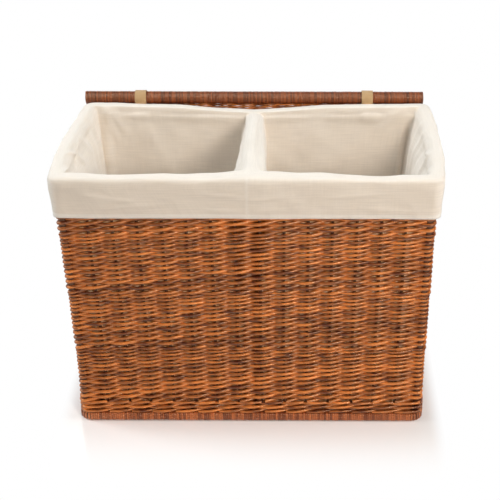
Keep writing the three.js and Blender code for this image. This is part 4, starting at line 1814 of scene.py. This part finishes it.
    def press_creases(self, levels: list[np.ndarray], ups: list[float], sign: int) -> list[np.ndarray]:
        """Presses the creases into a bag's loops.

        Args:
            levels: the loops from the floor to the crest.
            ups: how far up the cloth each loop is.
            sign: -1 for the left bag, 1 for the right one.

        Returns:
            The creased loops.
        """
        a, d, t = self.along, self.deep, self.turn + 1
        half = t // 2
        ends = np.cumsum([0, a + half, d + t, a + t, d + t])
        walls = (
            (Wall.FRONT, 0, (0, 1)), (Wall.OUTER, 1, (-1, 0)),
            (Wall.BACK, 0, (0, -1)), (Wall.DIVIDER, 1, (1, 0)),
        )
        spans = {}
        for first, last, (wall, axis, inward) in zip(ends, ends[1:], walls):
            steps = np.arange(last - first)
            fade = smooth(-0.5, half, np.minimum(steps, steps[::-1]))
            spans[wall] = (slice(first, last), axis, fade[:, None] * np.array(inward))
        creases = LEFT_CREASES if sign < 0 else RIGHT_CREASES
        moved = []
        for ring, up in zip(levels, ups):
            creased = ring.copy()
            for crease in creases:
                span, axis, inward = spans[crease.wall]
                along = ring[span, axis] * (sign if axis == 0 else 1)
                creased[span, :2] += crease.push(along, up)[:, None] * inward
            moved.append(creased)
        return moved

    def rumple(self, points: np.ndarray, normals: np.ndarray) -> np.ndarray:
        """Adds soft unevenness and fine creases to points of the cloth.

        Args:
            points: the points.
            normals: the cloth's normals there.

        Returns:
            The moved points.
        """
        # waves of different lengths and directions, so that no two of them keep step
        x, y, z = points.T
        soft = (
            np.sin(23 * x + 11 * z + 2.1) * np.sin(17 * y - 19 * z + 0.7)
            + 0.7 * np.sin(47 * x - 33 * z + 1.3) * np.sin(43 * y + 29 * z + 4.0)
            + 0.5 * np.sin(103 * x + 61 * z) * np.sin(89 * y - 71 * z + 2.0)
        )
        wander = 1.3 * np.sin(19 * x + 13 * y + 5) + 0.8 * np.sin(31 * z + 11 * y)
        crease = np.abs(np.sin(24 * x + 21 * y + 37 * z + 2.2 * wander))
        second = np.abs(np.sin(33 * x - 29 * y + 17 * z - 1.9 * wander + 1))
        fine = (1 - crease) ** 6 + 0.8 * (1 - second) ** 8
        amount = self.soft_height * soft + self.fine_height * fine * smooth(-0.2, 0.6, soft)
        rear_crest = smooth(446 * MM, 451 * MM, z) * smooth(0.8, 0.9, y / PLAN.rim_half_y)
        calm = smooth(0.02, 0.08, z) * (1 - rear_crest)
        return points + normals * (amount * calm)[:, None]

    def clear_rails(self, points: np.ndarray) -> np.ndarray:
        """Keeps points of the cloth outside the rim's rail and the straps that go round it.

        Args:
            points: the points.

        Returns:
            The moved points.
        """
        x, y, z = points.T.copy()
        from_strap = np.abs(np.abs(x) - PLAN.strap_x)
        over_strap = self.strap_lift * (1 - smooth(self.strap_near, self.strap_far, from_strap)) * (y > 0)
        for flat, other, half, end in (
            (x, y, PLAN.rim_half_x, PLAN.rim_half_y), (y, x, PLAN.rim_half_y, PLAN.rim_half_x)
        ):
            off = np.abs(flat) - half
            rise = z - PLAN.rim_z
            away = np.maximum(np.hypot(off, rise), 1e-6)
            clearance = self.rail_clearance + (over_strap if flat is y else 0)
            push = np.where(np.abs(other) < end - self.corner_clear, np.maximum(clearance / away, 1), 1)
            flat[:] = np.sign(flat) * (half + off * push)
            z[:] = PLAN.rim_z + rise * push
        return np.stack([x, y, z], axis=1)

    def band_loops(self, crest: np.ndarray) -> list[np.ndarray]:
        """The band from the crests over the rim and down to its hem, as loops round the basket.

        Args:
            crest: the closed loop of crest points round the rim.

        Returns:
            Loops below the crest, the last one the lower edge of the hem.
        """
        rail = crest[:, :2].copy()
        back = PLAN.rim_half_y
        near_back = smooth(back - self.back_fade, back - self.back_inset, rail[:, 1])
        rail[:, 1] += self.back_inset * near_back
        ahead = np.roll(rail, -1, axis=0) - np.roll(rail, 1, axis=0)
        ahead /= np.linalg.norm(ahead, axis=1)[:, None]
        out = np.stack([ahead[:, 1], -ahead[:, 0]], axis=1)
        lift = crest[:, 2] - PLAN.rim_z
        x, y = rail.T
        squareness = 0.4 + 0.08 * np.sin(34 * x + 1.1) * np.sin(21 * x + 0.4) + 0.06 * np.sin(29 * y)
        loops = []
        for angle in np.linspace(0, math.pi / 2, self.roll_levels + 1)[1:]:
            z = PLAN.rim_z + lift * max(math.cos(angle), 0) ** squareness
            share = math.sin(angle) ** squareness
            plan = crest[:, :2] + (rail - crest[:, :2]) * share[:, None]
            loops.append(np.column_stack([plan + out * (self.reach * share)[:, None], z]))
        for z in np.linspace(PLAN.rim_z, PLAN.hem_z, self.band_levels + 1)[1:]:
            share = (PLAN.rim_z - z) / (PLAN.rim_z - PLAN.hem_z)
            lean = PLAN.side_flare * (PLAN.rim_z - z) / PLAN.rim_z
            gap = self.reach - (self.reach - self.hem_gap) * share
            wave = self.hem_wave * share * np.sin(37 * x + 23 * y) * np.sin(11 * x - 17 * y + 1)
            folds = sum(fold.push(x, z) for fold in BAND_CREASES) * (y < 0)
            plan = rail + out * (gap - lean + wave + folds)[:, None]
            loops.append(np.column_stack([plan, np.full(len(rail), z)]))
        return loops

    def bag_grid(self, skin: Skin, sign: int, shared: dict[int, int], on_divider: range) -> list[list[int]]:
        """Adds one bag to the cloth.

        Args:
            skin: the cloth so far.
            sign: -1 for the left bag, 1 for the right one, which comes first.
            shared: the crest's vertices on the divider by station, which both bags use.
            on_divider: the stations of the crest on the divider.

        Returns:
            The vertices' numbers, loop by loop.
        """
        loops = self.press_creases(*self.bag_levels(sign), sign)
        rows = []
        for loop in loops:
            points = loop if sign > 0 else loop * np.array([-1, 1, 1])
            if loop is loops[-1] and sign < 0:
                rows.append([shared[i] if i in on_divider else skin.add(p) for i, p in enumerate(points)])
            else:
                rows.append([skin.add(p) for p in points])
        if sign > 0:
            shared.update({i: rows[-1][i] for i in on_divider})
        for lower, upper in zip(rows, rows[1:]):
            for i in range(len(lower)):
                j = (i + 1) % len(lower)
                skin.faces.append((lower[j], lower[i], upper[i], upper[j])[::sign])
        skin.faces.append(tuple(rows[0])[::sign])
        return rows

    def band_grid(self, skin: Skin, ring: list[int]) -> list[list[int]]:
        """Adds the band to the cloth.

        Args:
            skin: the cloth so far.
            ring: the crest's vertices round the rim.

        Returns:
            The vertices' numbers, loop by loop, with the crest first.
        """
        rows = [ring]
        for loop in self.band_loops(np.array([skin.points[i] for i in ring])):
            above, row = rows[-1], [skin.add(point) for point in loop]
            for i in range(len(ring)):
                j = (i + 1) % len(ring)
                skin.faces.append((above[i], row[i], row[j], above[j]))
            rows.append(row)
        return rows

    def build(self) -> None:
        """Builds the liner and dresses it."""
        skin = Skin()
        a, d, t = self.along, self.deep, self.turn + 1
        first = 2 * a + 2 * t + d + self.turn // 2
        last = 2 * a + 4 * t + 2 * d - 1 - self.turn // 2
        shared: dict[int, int] = {}
        grids = {sign: self.bag_grid(skin, sign, shared, range(first, last + 1)) for sign in (1, -1)}
        right, left = grids[1][-1], grids[-1][-1]
        outer_right = right[last:] + right[: first + 1]
        outer_left = left[: first + 1][::-1] + left[last:][::-1]
        band_rows = self.band_grid(skin, outer_right + outer_left[1:-1])
        points = np.array(skin.points)
        mesh = mesh_of("liner", points.tolist(), skin.faces)
        mesh.update()
        normals = np.array([v.normal for v in mesh.vertices])
        points = self.clear_rails(self.rumple(points, normals))
        points = SHAPE.settle(points) + np.array([0, PLAN.shift_y, 0])
        mesh.vertices.foreach_set("co", points.ravel())
        self.lay_threads(mesh, grids, band_rows, points)
        dressed(mesh, self.finishes.cotton)
        facing = mesh.attributes.new("facing", "FLOAT_VECTOR", "POINT")
        facing.data.foreach_set("vector", np.array([v.normal for v in mesh.vertices]).ravel())
        doubled = mesh.attributes.new("doubled", "FLOAT", "POINT")
        doubled.data.foreach_set("value", self.doubled_shares(band_rows, points))
        piece = add_piece("cotton_liner", mesh, "basket", ["liner"])
        thick = piece.modifiers.new("thickness", "SOLIDIFY")
        thick.thickness = self.cloth
        thick.offset = -1.0
        hem_line = points[band_rows[-1]] + np.array([0, 0, self.hem_seam])
        stitches = self.stitching.make(self.finishes.thread, {}, path_mesh(hem_line, True))
        hem = add_piece("hem_stitches", stitches, "basket")
        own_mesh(piece)

    def doubled_shares(self, band_rows: list[list[int]], points: np.ndarray) -> np.ndarray:
        """How far the cloth lies double at each point: in the hem, and along the front seam.

        Args:
            band_rows: the band's vertices, loop by loop.
            points: all the points of the cloth.

        Returns:
            A share for each point.
        """
        shares = np.zeros(len(points))
        fall = (PLAN.rim_z - PLAN.hem_z) / self.band_levels
        for above, row in enumerate(band_rows[::-1]):
            if above * fall <= self.hem_height:
                shares[row] = 1.0
        band = np.concatenate(band_rows[3:])
        seam = band[(np.abs(points[band, 0]) < self.seam_half) & (points[band, 1] < 0)]
        shares[seam] = np.maximum(shares[seam], self.seam_share)
        return shares

    def lay_threads(self, mesh: bpy.types.Mesh, grids: dict, band_rows: list, points: np.ndarray) -> None:
        """Gives the cloth its UV map in metres: round the bag, and up from its floor.

        Args:
            mesh: the cloth.
            grids: the bags' vertices, loop by loop, by side.
            band_rows: the band's vertices, loop by loop.
            points: all the points of the cloth.
        """
        coords = np.zeros((len(points), 2))
        for rows in grids.values():
            run = run_along(points[rows[self.even_loop]])
            height = 0.0
            for k, row in enumerate(rows):
                if k:
                    height += np.linalg.norm(points[row] - points[rows[k - 1]], axis=1).mean()
                coords[row, 0], coords[row, 1] = run, height
        height = self.band_start
        for above, row in zip(band_rows, band_rows[1:]):
            height += np.linalg.norm(points[row] - points[above], axis=1).mean()
            coords[row, 0], coords[row, 1] = run_along(points[row]), height
        loops = np.empty(len(mesh.loops), dtype=np.int32)
        mesh.loops.foreach_get("vertex_index", loops)
        mesh.uv_layers.new(name="weave").data.foreach_set("uv", coords[loops].ravel())


# Studio


@dataclass(frozen=True)
class Studio:
    """The floor, the lamps and the camera."""

    focal: float = 1200.0
    picture: float = 500.0
    middle_x: float = 290.0
    tilt: float = 26.71
    yaw: float = -0.4
    distance: float = 2.1048
    side_x: float = 0.0658
    target_z: float = 0.2431
    sensor: float = 36.0
    floor_half: float = 30.0
    floor_roughness: float = 0.12
    plain_half: tuple[float, float, float] = (0.3, 0.19, 0.0)
    fade_stretch: tuple[float, float, float] = (5.0, 1.0, 1.0)
    fade_length: float = 0.16
    near_floor: tuple[int, int, int] = (252, 251, 251)
    far_floor: tuple[int, int, int] = (186, 181, 176)
    daylight: tuple[float, ...] = (1.0, 0.91, 0.83, 1.0)

    def camera(self) -> None:
        """The camera at the photograph's place."""
        data = bpy.data.cameras.new("camera")
        data.sensor_width = self.sensor
        data.lens = self.focal / self.picture * self.sensor
        data.shift_x = -(self.middle_x - self.picture / 2) / self.picture
        data.clip_end = 100
        camera = put_in_scene("camera", data)
        tilt, yaw = math.radians(self.tilt), math.radians(self.yaw)
        back, rise = self.distance * math.cos(tilt), self.distance * math.sin(tilt)
        camera.location = Matrix.Rotation(-yaw, 3, "Z") @ Vector((self.side_x, -back, self.target_z + rise))
        camera.rotation_euler = (math.pi / 2 - tilt, 0, -yaw)
        bpy.context.scene.camera = camera

    def lamp(
        self, name: str, place: tuple[float, float, float], size: float, power: float,
        colour: tuple[float, float, float] = (0.94, 0.98, 1.0),
    ) -> None:
        """A square soft lamp that faces the hamper.

        Args:
            name: the lamp's name.
            place: where it stands.
            size: length of its sides.
            power: its power in watts.
            colour: the colour of its light.
        """
        data = bpy.data.lights.new(name, "AREA")
        data.size, data.energy, data.color = size, power, colour
        lamp = put_in_scene(name, data)
        lamp.location = place
        aim = Vector((0, 0, 0.3)) - Vector(place)
        lamp.rotation_euler = aim.to_track_quat("-Z", "Y").to_euler()

    def floor(self) -> None:
        """A pale floor that turns plain white away from the hamper."""
        half = self.floor_half
        corners = [(-half, -half, 0), (half, -half, 0), (half, half, 0), (-half, half, 0)]
        mesh = mesh_of("floor", corners, [(0, 1, 2, 3)])
        made, n = blank_material("floor")
        away = n.out(n.node("ShaderNodeTexCoord"), "Object")
        nothing = (0.0, 0.0, 0.0)
        for operation, second in (
            ("ABSOLUTE", nothing), ("SUBTRACT", self.plain_half), ("MAXIMUM", nothing),
            ("MULTIPLY", self.fade_stretch), ("LENGTH", nothing),
        ):
            links = {"Vector": away, "Vector_001": second}
            away = n.node("ShaderNodeVectorMath", links, operation=operation)
        links = {"Value": n.out(away, "Value"), "From Max": self.fade_length}
        share = n.out(n.node("ShaderNodeMapRange", links, interpolation_type="SMOOTHSTEP"))
        rays = n.node("ShaderNodeLightPath")
        seen = n.math("MAXIMUM", n.out(rays, "Is Camera Ray"), n.out(rays, "Is Glossy Ray"))
        colour = n.blend(share * (seen * -1 + 1), linear(*self.near_floor), linear(*self.far_floor))
        links = {"Base Color": colour, "Roughness": self.floor_roughness}
        plain = n.node("ShaderNodeBsdfPrincipled", links)
        white = n.node("ShaderNodeEmission", {"Color": (1, 1, 1, 1), "Strength": 1.0})
        mixed = n.node("ShaderNodeMixShader", {"Fac": share * seen, "Shader": plain, "Shader_001": white})
        n.node("ShaderNodeOutputMaterial", {"Surface": mixed})
        mesh.materials.append(made)
        floor = put_in_scene("floor", mesh)

    def world(self) -> None:
        """Plain daylight all round, white to the camera."""
        world = bpy.data.worlds.new("studio")
        world.use_nodes = True
        world.node_tree.nodes.clear()
        n = Nodes(world.node_tree)
        rays = n.node("ShaderNodeLightPath")
        plain = n.node("ShaderNodeBackground", {"Color": self.daylight, "Strength": 0.2})
        white = n.node("ShaderNodeBackground", {"Color": (1, 1, 1, 1), "Strength": 1.0})
        links = {"Fac": n.out(rays, "Is Camera Ray"), "Shader": plain, "Shader_001": white}
        n.node("ShaderNodeOutputWorld", {"Surface": n.node("ShaderNodeMixShader", links)})
        bpy.context.scene.world = world

    def build(self) -> None:
        """Sets up the whole studio."""
        self.camera()
        self.floor()
        self.world()
        self.lamp("top_lamp", (0.1, 0.0, 2.6), 0.8, 16, (0.86, 0.95, 1.0))
        self.lamp("left_lamp", (-2.2, 0.1, 1.6), 1.4, 42)
        self.lamp("right_lamp", (2.2, -0.5, 1.5), 1.2, 24)
        self.lamp("front_lamp", (0.85, -2.05, 1.35), 0.5, 30, (1.0, 0.9, 0.8))
        self.lamp("back_lamp", (-0.5, 2.4, 1.6), 1.4, 12)
        bpy.context.scene.view_settings.view_transform = "Standard"


def main() -> None:
    """Builds the hamper and its studio."""
    logging.basicConfig(level=logging.INFO, format="%(name)s: %(message)s")
    Studio().build()
    finishes = Finishes()
    stitching = Stitching()
    basket = Basket(finishes, Randing(), Winding())
    basket.build()
    Lid(finishes, basket).build()
    Straps(finishes).build()
    Liner(finishes, stitching).build()


if __name__ == "__main__":
    main()
